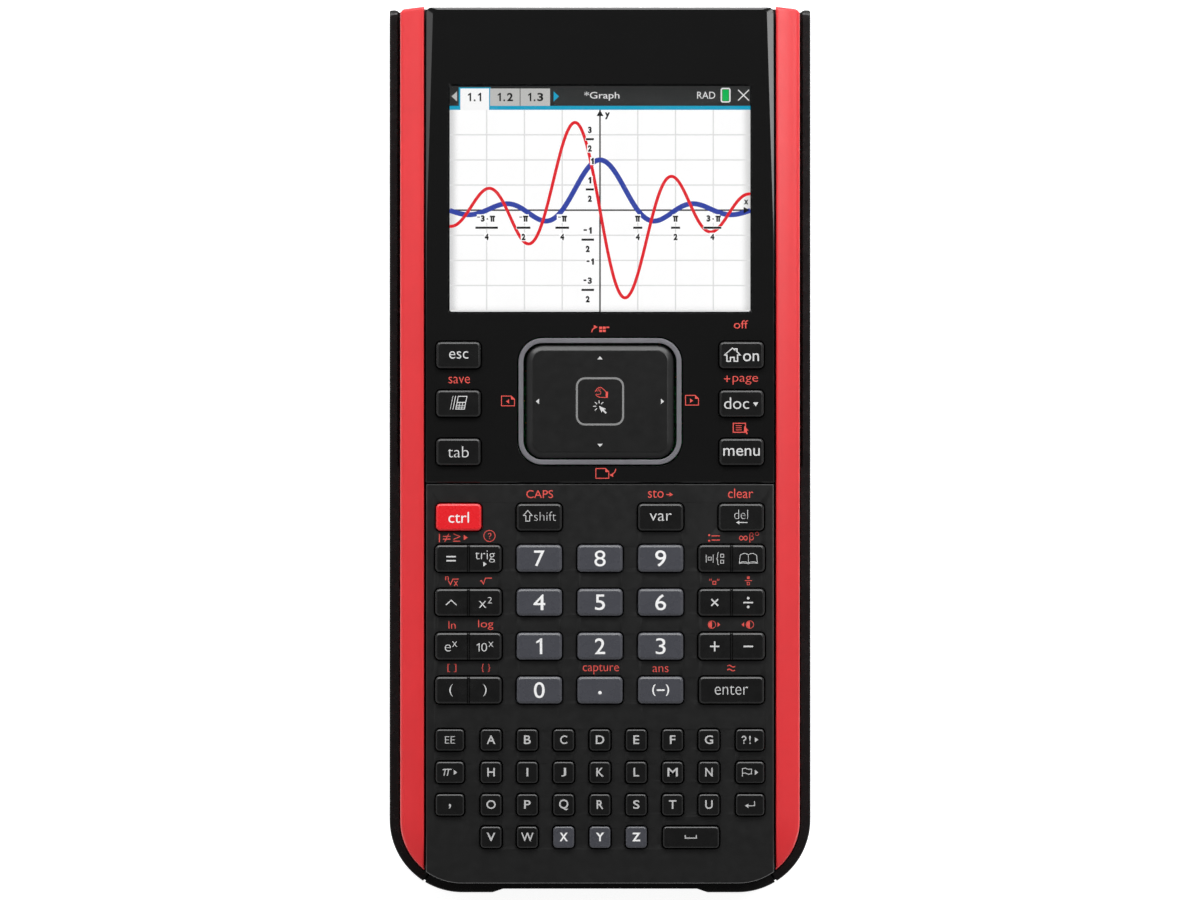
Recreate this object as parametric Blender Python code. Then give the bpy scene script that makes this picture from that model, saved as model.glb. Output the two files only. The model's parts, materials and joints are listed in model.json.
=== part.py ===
"""A handheld graphing calculator lying on its back in its slide cover, as separate pieces.

Run it with: blender --background --python part.py
X runs across the face, +Y towards the display end, and +Z out of the face.
The origin is the middle of the overall outline, on the underside of the slide cover.
"""

import math

import bpy

MM = 0.001
GAP = 0.3 * MM

# Overall outline: the slide cover is the widest piece, and the handheld sits inside it.
COVER_WIDTH = 90.4 * MM
COVER_LENGTH = 190.8 * MM
COVER_CORNER = 15.4 * MM
COVER_SIDE_WALL = 1.7 * MM
COVER_END_WALL = 1.4 * MM
COVER_PLATE = 1.8 * MM
COVER_WALL_TOP = 14.0 * MM
COVER_END_SETBACK = 0.5 * MM
THUMB_HALF = 22.2 * MM
THUMB_DEPTH = 0.8 * MM
CORNER_SLIT = 0.5 * MM
CORNER_SLIT_ANGLE = -58.3
RELIEF_Y = -3.6 * MM
RELIEF_DEPTH = 0.4 * MM
RELIEF_LOW = 10.4 * MM
PAST = 1 * MM  # how far a cutter runs past the face it cuts

Y_TOP = COVER_LENGTH / 2
Y_BOTTOM = -COVER_LENGTH / 2
COVER_INNER_HALF = COVER_WIDTH / 2 - COVER_SIDE_WALL

# The handheld's outline and its levels above the cover's underside.
HALF_WIDTH = COVER_INNER_HALF - GAP
HANDHELD_BOTTOM = Y_BOTTOM + COVER_END_WALL + GAP
LOW_CORNER = 13.4 * MM
TOP_CORNER = 1.6 * MM
CASE_BOTTOM = COVER_PLATE + 2.2 * MM
CASE_FLOOR = CASE_BOTTOM + 1.8 * MM
PARTING = 12.4 * MM
RIM_THICKNESS = 1.5 * MM
RIM_WIDTH = 6.8 * MM
CASE_WALL = 2.0 * MM
FACE_BASE = PARTING + GAP
LOWER_FACE = 19.4 * MM
UPPER_FACE = 19.7 * MM
FACE_PLATE = 1.8 * MM
SKIRT = 1.4 * MM

# The face: two bezels between two side rails.
RAIL_WIDTH = 5.2 * MM
RAIL_INNER = HALF_WIDTH - RAIL_WIDTH
RAIL_TOP = LOWER_FACE - 0.05 * MM
FACE_HALF = RAIL_INNER - 0.4 * MM
SPLIT_Y = -7.25 * MM

# The groove in the case's sides and the bead of the cover that runs in it.
GROOVE_DEPTH = 1.2 * MM
GROOVE_LOW = 8.2 * MM
GROOVE_HEIGHT = 1.8 * MM
BEAD_DEPTH = 1.1 * MM
BEAD_HEIGHT = 1.0 * MM
BEAD_Y = (-70 * MM, 88 * MM)

# Display.
DISPLAY_Y = 54.2 * MM
DISPLAY_SIZE = (65.0 * MM, 48.8 * MM)
WINDOW_BORDER = 0.3 * MM
WINDOW_FLANGE = 2.6 * MM
WINDOW_SETBACK = 0.2 * MM
SHARP = 0.1 * MM  # corner radius of a corner that looks square
PANEL_SIZE = (68.6 * MM, 52.2 * MM)
FRAME_SIZE = (71.6 * MM, 57.0 * MM)
PANEL_Z = (14.5 * MM, 16.6 * MM)
FRAME_Z = (14.2 * MM, 16.7 * MM)

# Boards and battery.
BOARD_HALF = 35.0 * MM
BOARD_NECK = 28.5 * MM
BOARD_Y = (-85.8 * MM, 86.8 * MM)
BOARD_Z = (FACE_BASE, FACE_BASE + 1.2 * MM)
MEMBRANE_Z = (BOARD_Z[1] + GAP, BOARD_Z[1] + GAP + 0.7 * MM)
BATTERY_SIZE = (48 * MM, 38 * MM)
BATTERY_Z = (CASE_FLOOR + GAP, 11.9 * MM)
BATTERY_Y = -10 * MM
BATTERY_DOOR = (62 * MM, 52 * MM)
BATTERY_DOOR_THICKNESS = 0.9 * MM
BATTERY_LEDGE = 4.0 * MM
BATTERY_SCREW_X = 29.0 * MM

# Screws.
CASE_SCREW_X = (33.0 * MM, 32.0 * MM)
CASE_SCREW_Y = (89.6 * MM, -88.6 * MM)
SCREW_RADIUS = 1.0 * MM
SCREW_HOLE = SCREW_RADIUS + GAP
HEAD_RADIUS = 2.0 * MM
HEAD_HOLE = HEAD_RADIUS + GAP
HEAD_HOLE_DEPTH = 1.6 * MM
HEAD_HEIGHT = 0.8 * MM
CASE_SCREW_TIP = 16.4 * MM
BATTERY_SCREW_TIP = 8.6 * MM
POST_RADIUS = 2.4 * MM
BOSS_RADIUS = 3.2 * MM

# Touchpad.
TOUCH_Y = 10.4 * MM
RING_SIZE = (35.2 * MM, 27.3 * MM)
RING_CORNER = 5.2 * MM
RING_WIDTH = 1.05 * MM
RING_PROUD = 0.5 * MM
PAD_SIZE = (31.8 * MM, 24.5 * MM)
PAD_CORNER = 3.6 * MM
PAD_BEVEL = 1.2 * MM
PAD_Z = (17.1 * MM, 20.0 * MM)
SENSOR_SIZE = (27 * MM, 20 * MM)
SENSOR_Z = (15.8 * MM, 16.6 * MM)
DOME_SIZE = (24 * MM, 17 * MM)
DOME_Z = (14.6 * MM, 15.3 * MM)

# Keys: sizes, pitches and how far they stand out of the face.
KEY_SIZE = (9.75 * MM, 5.8 * MM)
NAV_SIZE = (9.5 * MM, 5.7 * MM)
PAIR_SIZE = (14.3 * MM, 5.8 * MM)
LETTER_SIZE = (4.5 * MM, 4.6 * MM)
SIDE_LETTER_SIZE = (6.1 * MM, 4.6 * MM)
SPACE_SIZE = (12.1 * MM, 4.6 * MM)
KEY_PROUD = 1.2 * MM
KEY_FOOT = 15.9 * MM
KEY_FLANGE = 0.4 * MM
KEY_FLANGE_TOP = 16.7 * MM
KEY_CORNER = 0.7 * MM
KEY_BEVEL = 0.35 * MM

NAV_X = 30.55 * MM
NAV_TOP_Y = 20.4 * MM
NAV_PITCH = 10.45 * MM
FUNCTION_Y = -14.6 * MM
FUNCTION_X = 30.5 * MM
COLUMN_PITCH = 13.1 * MM
NUMBER_TOP_Y = -23.5 * MM
ROW_PITCH = 9.48 * MM
PAIR_X = 28.4 * MM
PAIR_GROOVE = 0.85 * MM
LETTER_TOP_Y = -62.7 * MM
LETTER_ROW_PITCH = 7.0 * MM
LETTER_PITCH = 7.84 * MM
SIDE_LETTER_X = 32.4 * MM
SPACE_X = 19.65 * MM
WEB_TOP = 16.5 * MM
WEB_HALF_HEIGHT = 1.6 * MM

# Sockets and light pipe in the ends: X, Y and Z ranges.
USB_BOX = ((-3.85 * MM, 3.85 * MM), (87 * MM, 95.1 * MM), (14.2 * MM, 17.5 * MM))
LED_BOX = ((10.8 * MM, 13.2 * MM), (91 * MM, 95.2 * MM), (14.4 * MM, 15.6 * MM))
DOCK_BOX = ((-12 * MM, 12 * MM), (-93.4 * MM, -89.4 * MM), (6.4 * MM, 10.0 * MM))

ROCKER_AXIS_Z = LOWER_FACE - FACE_PLATE / 2
TOUCH_AXIS_Z = 18.6 * MM

BLACK = (0.012, 0.012, 0.012)
SOFT_BLACK = (0.017, 0.017, 0.017)
RED = (0.68, 0.045, 0.05)
KEY_RED = (0.75, 0.03, 0.035)
GREY = (0.07, 0.072, 0.085)
RING_GREY = (0.21, 0.21, 0.235)
STEEL = (0.55, 0.55, 0.57)
BOARD_GREEN = (0.01, 0.12, 0.04)
RUBBER = (0.12, 0.12, 0.13)


# ---------------------------------------------------------------- outlines and solids


def arc(centre, radius, start, end, steps):
    """Points along an arc, with the angles in degrees."""
    points = []
    for step in range(steps + 1):
        angle = math.radians(start + (end - start) * step / steps)
        points.append((centre[0] + radius * math.cos(angle), centre[1] + radius * math.sin(angle)))
    return points


def circle(centre, radius, steps=12):
    return arc(centre, radius, 0, 360 * (steps - 1) / steps, steps - 1)


def rounded(half_width, y_low, y_high, low_corner, high_corner, steps):
    """A rectangle centred on X, with one radius for its low corners and one for its high corners."""
    low_x = half_width - low_corner
    high_x = half_width - high_corner
    points = arc((low_x, y_low + low_corner), low_corner, -90, 0, steps)
    points += arc((high_x, y_high - high_corner), high_corner, 0, 90, steps)
    points += arc((-high_x, y_high - high_corner), high_corner, 90, 180, steps)
    points += arc((-low_x, y_low + low_corner), low_corner, 180, 270, steps)
    return points


def pad_outline(size, corner, grow=0.0, steps=1, centre=(0.0, 0.0)):
    """A rounded rectangle of the given size about centre, offset outwards by grow."""
    half_x = size[0] / 2 + grow
    half_y = size[1] / 2 + grow
    radius = max(corner + grow, 0.1 * MM)
    points = rounded(half_x, -half_y, half_y, radius, radius, steps)
    return [(x + centre[0], y + centre[1]) for x, y in points]


def handheld_outline(inset, steps=6):
    high = max(TOP_CORNER - inset, 0.2 * MM)
    return rounded(
        HALF_WIDTH - inset, HANDHELD_BOTTOM + inset, Y_TOP - inset, LOW_CORNER - inset, high, steps
    )


def lower_face_outline(inset, top):
    """The part of the handheld's outline between the side rails and below top."""
    half = FACE_HALF - inset
    radius = LOW_CORNER - inset
    centre_x = HALF_WIDTH - LOW_CORNER
    centre_y = HANDHELD_BOTTOM + LOW_CORNER
    end = -math.degrees(math.acos((half - centre_x) / radius))
    points = arc((centre_x, centre_y), radius, -90, end, 4)
    points += [(half, top), (-half, top)]
    points += arc((-centre_x, centre_y), radius, 180 - end, 270, 4)
    return points


def rectangle(x_low, x_high, y_low, y_high):
    return [(x_low, y_low), (x_high, y_low), (x_high, y_high), (x_low, y_high)]


def solid(name, stacks, origin=(0.0, 0.0, 0.0)):
    """One object with a closed skin through each stack of (outline, height) rings, lowest first."""
    vertices = []
    faces = []
    for rings in stacks:
        start = len(vertices)
        count = len(rings[0][0])
        for points, height in rings:
            for x, y in points:
                vertices.append((x - origin[0], y - origin[1], height - origin[2]))
        faces.append([start + i for i in reversed(range(count))])
        for level in range(len(rings) - 1):
            low = start + level * count
            for i in range(count):
                j = (i + 1) % count
                faces.append([low + i, low + j, low + count + j, low + count + i])
        last = start + (len(rings) - 1) * count
        faces.append([last + i for i in range(count)])
    mesh = bpy.data.meshes.new(name)
    mesh.from_pydata(vertices, [], faces)
    obj = bpy.data.objects.new(name, mesh)
    obj.location = origin
    bpy.context.scene.collection.objects.link(obj)
    return obj


def prism(outline, low, high):
    return [(outline, low), (outline, high)]


def block(x_range, y_range, z_range):
    return prism(rectangle(*x_range, *y_range), *z_range)


def combine(target, helper, operation):
    """Adds a Boolean with a helper object that is left out of the render."""
    helper.hide_render = True
    helper.display_type = "WIRE"
    modifier = target.modifiers.new(helper.name, "BOOLEAN")
    modifier.operation = operation
    modifier.object = helper


def paint(obj, colour, roughness, metallic=0.0):
    material = bpy.data.materials.new(obj.name)
    material.use_nodes = True
    shader = material.node_tree.nodes["Principled BSDF"]
    shader.inputs["Base Color"].default_value = (*colour, 1.0)
    shader.inputs["Roughness"].default_value = roughness
    shader.inputs["Metallic"].default_value = metallic
    obj.data.materials.append(material)


def smooth(obj):
    obj.data.shade_smooth()
    obj.data.set_sharp_from_angle(angle=math.radians(35))


def both_sides(x_range):
    """An X range and its mirror image."""
    return (x_range, (-x_range[1], -x_range[0]))


# ---------------------------------------------------------------- slide cover


def cover_outline(inset):
    return rounded(
        COVER_WIDTH / 2 - inset,
        Y_BOTTOM + inset,
        Y_TOP - COVER_END_SETBACK - inset,
        COVER_CORNER - inset,
        1.2 * MM,
        6,
    )


def thumb_recess():
    """A shallow scoop along the middle of the cover's closed end."""
    run = 1.2 * MM
    wide = THUMB_HALF + run
    narrow = THUMB_HALF - run
    start = Y_BOTTOM - 0.1 * MM
    points = [
        (-wide, Y_BOTTOM - PAST),
        (wide, Y_BOTTOM - PAST),
        (wide, start),
        (narrow, Y_BOTTOM + THUMB_DEPTH),
        (-narrow, Y_BOTTOM + THUMB_DEPTH),
        (-wide, start),
    ]
    return prism(points, -PAST, COVER_WALL_TOP + PAST)


def corner_slots():
    """A narrow slit through the wall in each closed corner, square to the wall."""
    angle = math.radians(CORNER_SLIT_ANGLE)
    centre = (COVER_WIDTH / 2 - COVER_CORNER, Y_BOTTOM + COVER_CORNER)
    along = (math.cos(angle), math.sin(angle))
    half_slit = CORNER_SLIT / 2
    near = LOW_CORNER - 2 * MM
    far = COVER_CORNER + 2 * MM
    stacks = []
    for side in (1, -1):
        points = []
        for reach, offset in ((near, -half_slit), (far, -half_slit), (far, half_slit), (near, half_slit)):
            x = centre[0] + reach * along[0] - offset * along[1]
            y = centre[1] + reach * along[1] + offset * along[0]
            points.append((side * x, y))
        if side < 0:
            points.reverse()
        stacks.append(prism(points, COVER_PLATE + 3 * MM, COVER_WALL_TOP + PAST))
    return stacks


def make_slide_cover():
    edge = 0.4 * MM
    cover = solid(
        "slide_cover",
        [
            [
                (cover_outline(1.0 * MM), 0.0),
                (cover_outline(0.0), 1.0 * MM),
                (cover_outline(0.0), COVER_WALL_TOP - edge),
                (cover_outline(edge), COVER_WALL_TOP),
            ]
        ],
    )
    inside = rounded(
        COVER_INNER_HALF, HANDHELD_BOTTOM - GAP, Y_TOP + 5 * PAST, LOW_CORNER + GAP, 1 * MM, 6
    )
    hollow = solid("cover_hollow", [prism(inside, COVER_PLATE, COVER_WALL_TOP + PAST)])
    combine(cover, hollow, "DIFFERENCE")
    relief_x = (COVER_INNER_HALF - 0.2 * MM, COVER_INNER_HALF + RELIEF_DEPTH)
    relief_z = (RELIEF_LOW, COVER_WALL_TOP + PAST)
    reliefs = [block(x, (RELIEF_Y, Y_TOP + PAST), relief_z) for x in both_sides(relief_x)]
    cuts = solid("cover_cuts", reliefs + [thumb_recess()] + corner_slots())
    combine(cover, cuts, "DIFFERENCE")
    bead_z = GROOVE_LOW + (GROOVE_HEIGHT - BEAD_HEIGHT) / 2
    bead_x = (COVER_INNER_HALF - BEAD_DEPTH, COVER_INNER_HALF + 0.2 * MM)
    beads = [block(x, BEAD_Y, (bead_z, bead_z + BEAD_HEIGHT)) for x in both_sides(bead_x)]
    combine(cover, solid("cover_beads", beads), "UNION")
    paint(cover, BLACK, 0.45)
    return cover


# ---------------------------------------------------------------- cases and bezels


def case_screw_places():
    """(name, x, y) of the four screws that hold the shells together."""
    places = []
    for end, x, y in zip(("top", "bottom"), CASE_SCREW_X, CASE_SCREW_Y, strict=True):
        places.append((f"case_screw_{end}_left", -x, y))
        places.append((f"case_screw_{end}_right", x, y))
    return places


def opening_round(box, y_range):
    """A cutter with a gap all round the piece that fills box, through the wall in y_range."""
    x_range = (box[0][0] - GAP, box[0][1] + GAP)
    z_range = (box[2][0] - GAP, box[2][1] + GAP)
    return block(x_range, y_range, z_range)


def make_rear_case():
    case = solid(
        "rear_case",
        [
            [
                (handheld_outline(1.6 * MM), CASE_BOTTOM),
                (handheld_outline(0.5 * MM), CASE_BOTTOM + 0.8 * MM),
                (handheld_outline(0.0), CASE_BOTTOM + 2.2 * MM),
                (handheld_outline(0.0), PARTING),
            ]
        ],
    )
    hollow = solid(
        "case_hollow",
        [
            [
                (handheld_outline(3.2 * MM), CASE_FLOOR),
                (handheld_outline(CASE_WALL), CASE_FLOOR + 1.2 * MM),
                (handheld_outline(CASE_WALL), PARTING - RIM_THICKNESS),
                (handheld_outline(RIM_WIDTH), PARTING - RIM_THICKNESS),
                (handheld_outline(RIM_WIDTH), PARTING + PAST),
            ]
        ],
    )
    combine(case, hollow, "DIFFERENCE")
    boss_low = CASE_BOTTOM + 1.0 * MM
    bosses = []
    for _, x, y in case_screw_places():
        bosses.append(prism(circle((x, y), BOSS_RADIUS), boss_low, PARTING - 0.2 * MM))
    for side in (1, -1):
        centre = (side * BATTERY_SCREW_X, BATTERY_Y)
        boss_z = (CASE_FLOOR - 0.3 * MM, BATTERY_SCREW_TIP + 0.4 * MM)
        bosses.append(prism(circle(centre, POST_RADIUS), *boss_z))
    combine(case, solid("case_bosses", bosses), "UNION")

    door_half_x = BATTERY_DOOR[0] / 2 + GAP
    door_half_y = BATTERY_DOOR[1] / 2 + GAP
    recess_top = CASE_BOTTOM + BATTERY_DOOR_THICKNESS + GAP
    recess = block(
        (-door_half_x, door_half_x),
        (BATTERY_Y - door_half_y, BATTERY_Y + door_half_y),
        (CASE_BOTTOM - PAST, recess_top),
    )
    groove_x = (HALF_WIDTH - GROOVE_DEPTH, HALF_WIDTH + PAST)
    groove_z = (GROOVE_LOW, GROOVE_LOW + GROOVE_HEIGHT)
    grooves = [block(x, (Y_BOTTOM, BEAD_Y[1] + 2 * MM), groove_z) for x in both_sides(groove_x)]
    dock = opening_round(DOCK_BOX, (Y_BOTTOM, DOCK_BOX[1][1]))
    combine(case, solid("case_recesses", [recess, dock] + grooves), "DIFFERENCE")

    bay_half_x = BATTERY_DOOR[0] / 2 - BATTERY_LEDGE
    bay_half_y = BATTERY_DOOR[1] / 2 - BATTERY_LEDGE
    bay = block(
        (-bay_half_x, bay_half_x),
        (BATTERY_Y - bay_half_y, BATTERY_Y + bay_half_y),
        (recess_top - 0.5 * MM, CASE_FLOOR + PAST),
    )
    holes = [bay]
    for _, x, y in case_screw_places():
        holes.append(
            [
                (circle((x, y), HEAD_HOLE), CASE_BOTTOM - PAST),
                (circle((x, y), HEAD_HOLE), CASE_BOTTOM + HEAD_HOLE_DEPTH),
                (circle((x, y), SCREW_HOLE), CASE_BOTTOM + HEAD_HOLE_DEPTH),
                (circle((x, y), SCREW_HOLE), PARTING + PAST),
            ]
        )
    for side in (1, -1):
        centre = (side * BATTERY_SCREW_X, BATTERY_Y)
        holes.append(prism(circle(centre, SCREW_HOLE), recess_top - 0.5 * MM, BATTERY_SCREW_TIP + PAST))
    combine(case, solid("case_holes", holes), "DIFFERENCE")
    paint(case, SOFT_BLACK, 0.55)
    return case


def make_side_rail(name, side):
    """A red strip along one side of the face, following the corner down to a point."""
    rail = solid(
        name,
        [
            [
                (handheld_outline(0.0, 8), FACE_BASE),
                (handheld_outline(0.0, 8), RAIL_TOP - 2.55 * MM),
                (handheld_outline(0.35 * MM, 8), RAIL_TOP - 1.25 * MM),
                (handheld_outline(1.3 * MM, 8), RAIL_TOP - 0.35 * MM),
                (handheld_outline(2.8 * MM, 8), RAIL_TOP),
            ]
        ],
    )
    ranges = both_sides((RAIL_INNER, HALF_WIDTH + PAST))
    x_range = ranges[0] if side > 0 else ranges[1]
    strip = block(x_range, (Y_BOTTOM - PAST, Y_TOP + PAST), (FACE_BASE - PAST, UPPER_FACE + PAST))
    combine(rail, solid(name + "_strip", [strip]), "INTERSECT")
    paint(rail, RED, 0.35)
    return rail


def key_opening(centre, size, low, high):
    """The hole in a bezel that a key stands in, with a gap all round."""
    return prism(pad_outline(size, KEY_CORNER, GAP, 1, centre), low, high)


def screw_posts(places, face):
    """Solid posts on the inside of a bezel, and the blind holes in them."""
    under = face - FACE_PLATE
    posts = [prism(circle(place, POST_RADIUS), FACE_BASE, under + 0.5 * MM) for place in places]
    hole_top = CASE_SCREW_TIP + 0.4 * MM
    holes = [prism(circle(place, SCREW_HOLE), FACE_BASE - PAST, hole_top) for place in places]
    return posts, holes


def make_display_bezel():
    low_y = SPLIT_Y + GAP / 2
    edge = 0.6 * MM

    def outline(inset):
        return rounded(FACE_HALF - inset, low_y, Y_TOP - inset, 0.1 * MM, 1.0 * MM, 2)

    bezel = solid(
        "display_bezel",
        [[(outline(0), FACE_BASE), (outline(0), UPPER_FACE - edge), (outline(edge), UPPER_FACE)]],
    )
    under = UPPER_FACE - FACE_PLATE
    inner = rectangle(SKIRT - FACE_HALF, FACE_HALF - SKIRT, low_y - PAST, Y_TOP - SKIRT)
    combine(bezel, solid("display_bezel_hollow", [prism(inner, FACE_BASE - PAST, under)]), "DIFFERENCE")
    posts, post_holes = screw_posts(
        [(x, y) for name, x, y in case_screw_places() if "_top_" in name], UPPER_FACE
    )
    combine(bezel, solid("display_bezel_posts", posts), "UNION")

    through = (under - 0.2 * MM, UPPER_FACE + PAST)
    border = WINDOW_BORDER + GAP
    cuts = [prism(pad_outline(DISPLAY_SIZE, SHARP, border, 1, (0, DISPLAY_Y)), *through)]
    cuts.append(prism(pad_outline(RING_SIZE, RING_CORNER, GAP, 4, (0, TOUCH_Y)), *through))
    cuts += [key_opening(centre, NAV_SIZE, *through) for _, centre in nav_places()]
    cuts += post_holes
    end_wall = (Y_TOP - SKIRT - PAST, Y_TOP + PAST)
    cuts += [opening_round(box, end_wall) for box in (USB_BOX, LED_BOX)]
    combine(bezel, solid("display_bezel_cuts", cuts), "DIFFERENCE")
    paint(bezel, BLACK, 0.12)
    return bezel


def make_keypad_bezel():
    top = SPLIT_Y - GAP / 2
    edge = 0.5 * MM
    bezel = solid(
        "keypad_bezel",
        [
            [
                (lower_face_outline(0, top), FACE_BASE),
                (lower_face_outline(0, top), LOWER_FACE - edge),
                (lower_face_outline(edge, top), LOWER_FACE),
            ]
        ],
    )
    under = LOWER_FACE - FACE_PLATE
    inner = lower_face_outline(SKIRT, top + PAST)
    combine(bezel, solid("keypad_bezel_hollow", [prism(inner, FACE_BASE - PAST, under)]), "DIFFERENCE")
    posts, post_holes = screw_posts(
        [(x, y) for name, x, y in case_screw_places() if "_bottom_" in name], LOWER_FACE
    )
    combine(bezel, solid("keypad_bezel_posts", posts), "UNION")

    through = (under - 0.2 * MM, LOWER_FACE + PAST)
    places = [(centre, size) for _, centre, size, _ in plain_key_places()]
    places += [(centre, PAIR_SIZE) for _, centre in rocker_places()]
    for row in range(4):
        places += letter_places(row)
    cuts = [key_opening(centre, size, *through) for centre, size in places]
    combine(bezel, solid("keypad_bezel_cuts", cuts + post_holes), "DIFFERENCE")
    paint(bezel, SOFT_BLACK, 0.5)
    return bezel


# ---------------------------------------------------------------- display, boards and battery


def make_display_window():
    """A clear plate with a thin flange behind the bezel and a raised land in its opening."""
    centre = (0, DISPLAY_Y)
    flange = pad_outline(DISPLAY_SIZE, SHARP, WINDOW_FLANGE, 1, centre)
    land = pad_outline(DISPLAY_SIZE, SHARP, WINDOW_BORDER, 1, centre)
    low = FRAME_Z[1] + GAP
    flange_top = UPPER_FACE - FACE_PLATE - GAP
    top = UPPER_FACE - WINDOW_SETBACK
    rings = [(flange, low), (flange, flange_top), (land, flange_top), (land, top)]
    window = solid("display_window", [rings])
    paint(window, (0.8, 0.82, 0.85), 0.05)
    return window


def make_lcd_panel():
    outline = pad_outline(PANEL_SIZE, SHARP, 0, 1, (0, DISPLAY_Y))
    panel = solid("lcd_panel", [prism(outline, *PANEL_Z)])
    paint(panel, (0.75, 0.77, 0.8), 0.2)
    return panel


def make_lcd_frame():
    centre = (0, DISPLAY_Y)
    frame = solid("lcd_frame", [prism(pad_outline(FRAME_SIZE, 1 * MM, 0, 1, centre), *FRAME_Z)])
    opening = pad_outline(PANEL_SIZE, SHARP, GAP, 1, centre)
    cutter = solid("lcd_frame_opening", [prism(opening, FRAME_Z[0] - PAST, FRAME_Z[1] + PAST)])
    combine(frame, cutter, "DIFFERENCE")
    paint(frame, STEEL, 0.4, 1.0)
    return frame


def necked(half_width, neck, y_low, y_high, neck_low, neck_high):
    """A rectangle with a narrower neck past each end, clear of the corner posts."""
    return [
        (-neck, neck_low),
        (neck, neck_low),
        (neck, y_low),
        (half_width, y_low),
        (half_width, y_high),
        (neck, y_high),
        (neck, neck_high),
        (-neck, neck_high),
        (-neck, y_high),
        (-half_width, y_high),
        (-half_width, y_low),
        (-neck, y_low),
    ]


def make_main_board():
    outline = necked(BOARD_HALF, BOARD_NECK, BOARD_Y[0], BOARD_Y[1], -91 * MM, 92.5 * MM)
    board = solid("main_board", [prism(outline, *BOARD_Z)])
    paint(board, BOARD_GREEN, 0.4)
    return board


def make_key_membrane():
    """The rubber sheet of domes under the keys, with a hole for the touchpad's own stack."""
    outline = necked(BOARD_HALF, BOARD_NECK, BOARD_Y[0], 23.0 * MM, -87.5 * MM, 24.6 * MM)
    membrane = solid("key_membrane", [prism(outline, *MEMBRANE_Z)])
    hole = pad_outline(RING_SIZE, 2 * MM, PAST, 1, (0, TOUCH_Y))
    cutter = solid("membrane_hole", [prism(hole, MEMBRANE_Z[0] - PAST, MEMBRANE_Z[1] + PAST)])
    combine(membrane, cutter, "DIFFERENCE")
    paint(membrane, RUBBER, 0.8)
    return membrane


def make_battery_pack():
    outline = pad_outline(BATTERY_SIZE, 1.5 * MM, 0, 2, (0, BATTERY_Y))
    pack = solid("battery_pack", [prism(outline, *BATTERY_Z)])
    paint(pack, (0.3, 0.32, 0.36), 0.35)
    return pack


def make_battery_cover():
    top = CASE_BOTTOM + BATTERY_DOOR_THICKNESS
    outline = pad_outline(BATTERY_DOOR, 0.8 * MM, 0, 1, (0, BATTERY_Y))
    cover = solid("battery_cover", [prism(outline, CASE_BOTTOM, top)])
    centres = [(side * BATTERY_SCREW_X, BATTERY_Y) for side in (1, -1)]
    holes = [prism(circle(centre, SCREW_HOLE), CASE_BOTTOM - PAST, top + PAST) for centre in centres]
    combine(cover, solid("battery_cover_holes", holes), "DIFFERENCE")
    paint(cover, SOFT_BLACK, 0.6)
    return cover


def make_screw(name, x, y, head_low, tip):
    """A round-headed screw standing upright with its head down and a cross recess in it."""
    origin = (x, y, head_low)
    head_high = head_low + HEAD_HEIGHT
    rings = [
        (circle((x, y), HEAD_RADIUS - 0.2 * MM), head_low),
        (circle((x, y), HEAD_RADIUS), head_low + 0.2 * MM),
        (circle((x, y), HEAD_RADIUS), head_high),
        (circle((x, y), SCREW_RADIUS), head_high),
        (circle((x, y), SCREW_RADIUS), tip - 0.6 * MM),
        (circle((x, y), SCREW_RADIUS * 0.4), tip),
    ]
    screw = solid(name, [rings], origin)
    arm = 1.1 * MM
    slot = 0.22 * MM
    cross = []
    for turn in range(4):
        angle = turn * math.pi / 2
        for across, along in ((-slot, arm), (slot, arm), (slot, slot)):
            px = x + along * math.sin(angle) + across * math.cos(angle)
            py = y + along * math.cos(angle) - across * math.sin(angle)
            cross.append((px, py))
    cross.reverse()
    recess = solid(name + "_recess", [prism(cross, head_low - 0.5 * MM, head_low + 0.4 * MM)], origin)
    combine(screw, recess, "DIFFERENCE")
    smooth(screw)
    paint(screw, STEEL, 0.3, 1.0)
    return screw


def make_screws():
    for name, x, y in case_screw_places():
        make_screw(name, x, y, CASE_BOTTOM + 0.5 * MM, CASE_SCREW_TIP)
    head_low = CASE_BOTTOM - GAP - HEAD_HEIGHT
    for name, side in (("battery_screw_left", -1), ("battery_screw_right", 1)):
        make_screw(name, side * BATTERY_SCREW_X, BATTERY_Y, head_low, BATTERY_SCREW_TIP)


def make_socket(name, box, wall, depth, mouth):
    """A block with a blind slot in the end that mouth (+1 or -1) says."""
    x_range, y_range, z_range = box
    socket = solid(name, [block(x_range, y_range, z_range)])
    inner_x = (x_range[0] + wall, x_range[1] - wall)
    inner_z = (z_range[0] + wall, z_range[1] - wall)
    end = y_range[1] if mouth > 0 else y_range[0]
    inner_y = tuple(sorted((end - mouth * depth, end + mouth * PAST)))
    combine(socket, solid(name + "_slot", [block(inner_x, inner_y, inner_z)]), "DIFFERENCE")
    return socket


def make_end_parts():
    usb = make_socket("usb_port", USB_BOX, 0.5 * MM, 5 * MM, 1)
    paint(usb, STEEL, 0.35, 1.0)
    dock = make_socket("dock_connector", DOCK_BOX, 1.0 * MM, 2.5 * MM, -1)
    paint(dock, BLACK, 0.5)
    led = solid("status_led", [block(*LED_BOX)])
    paint(led, (0.6, 0.75, 0.6), 0.2)


# ---------------------------------------------------------------- touchpad


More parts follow.
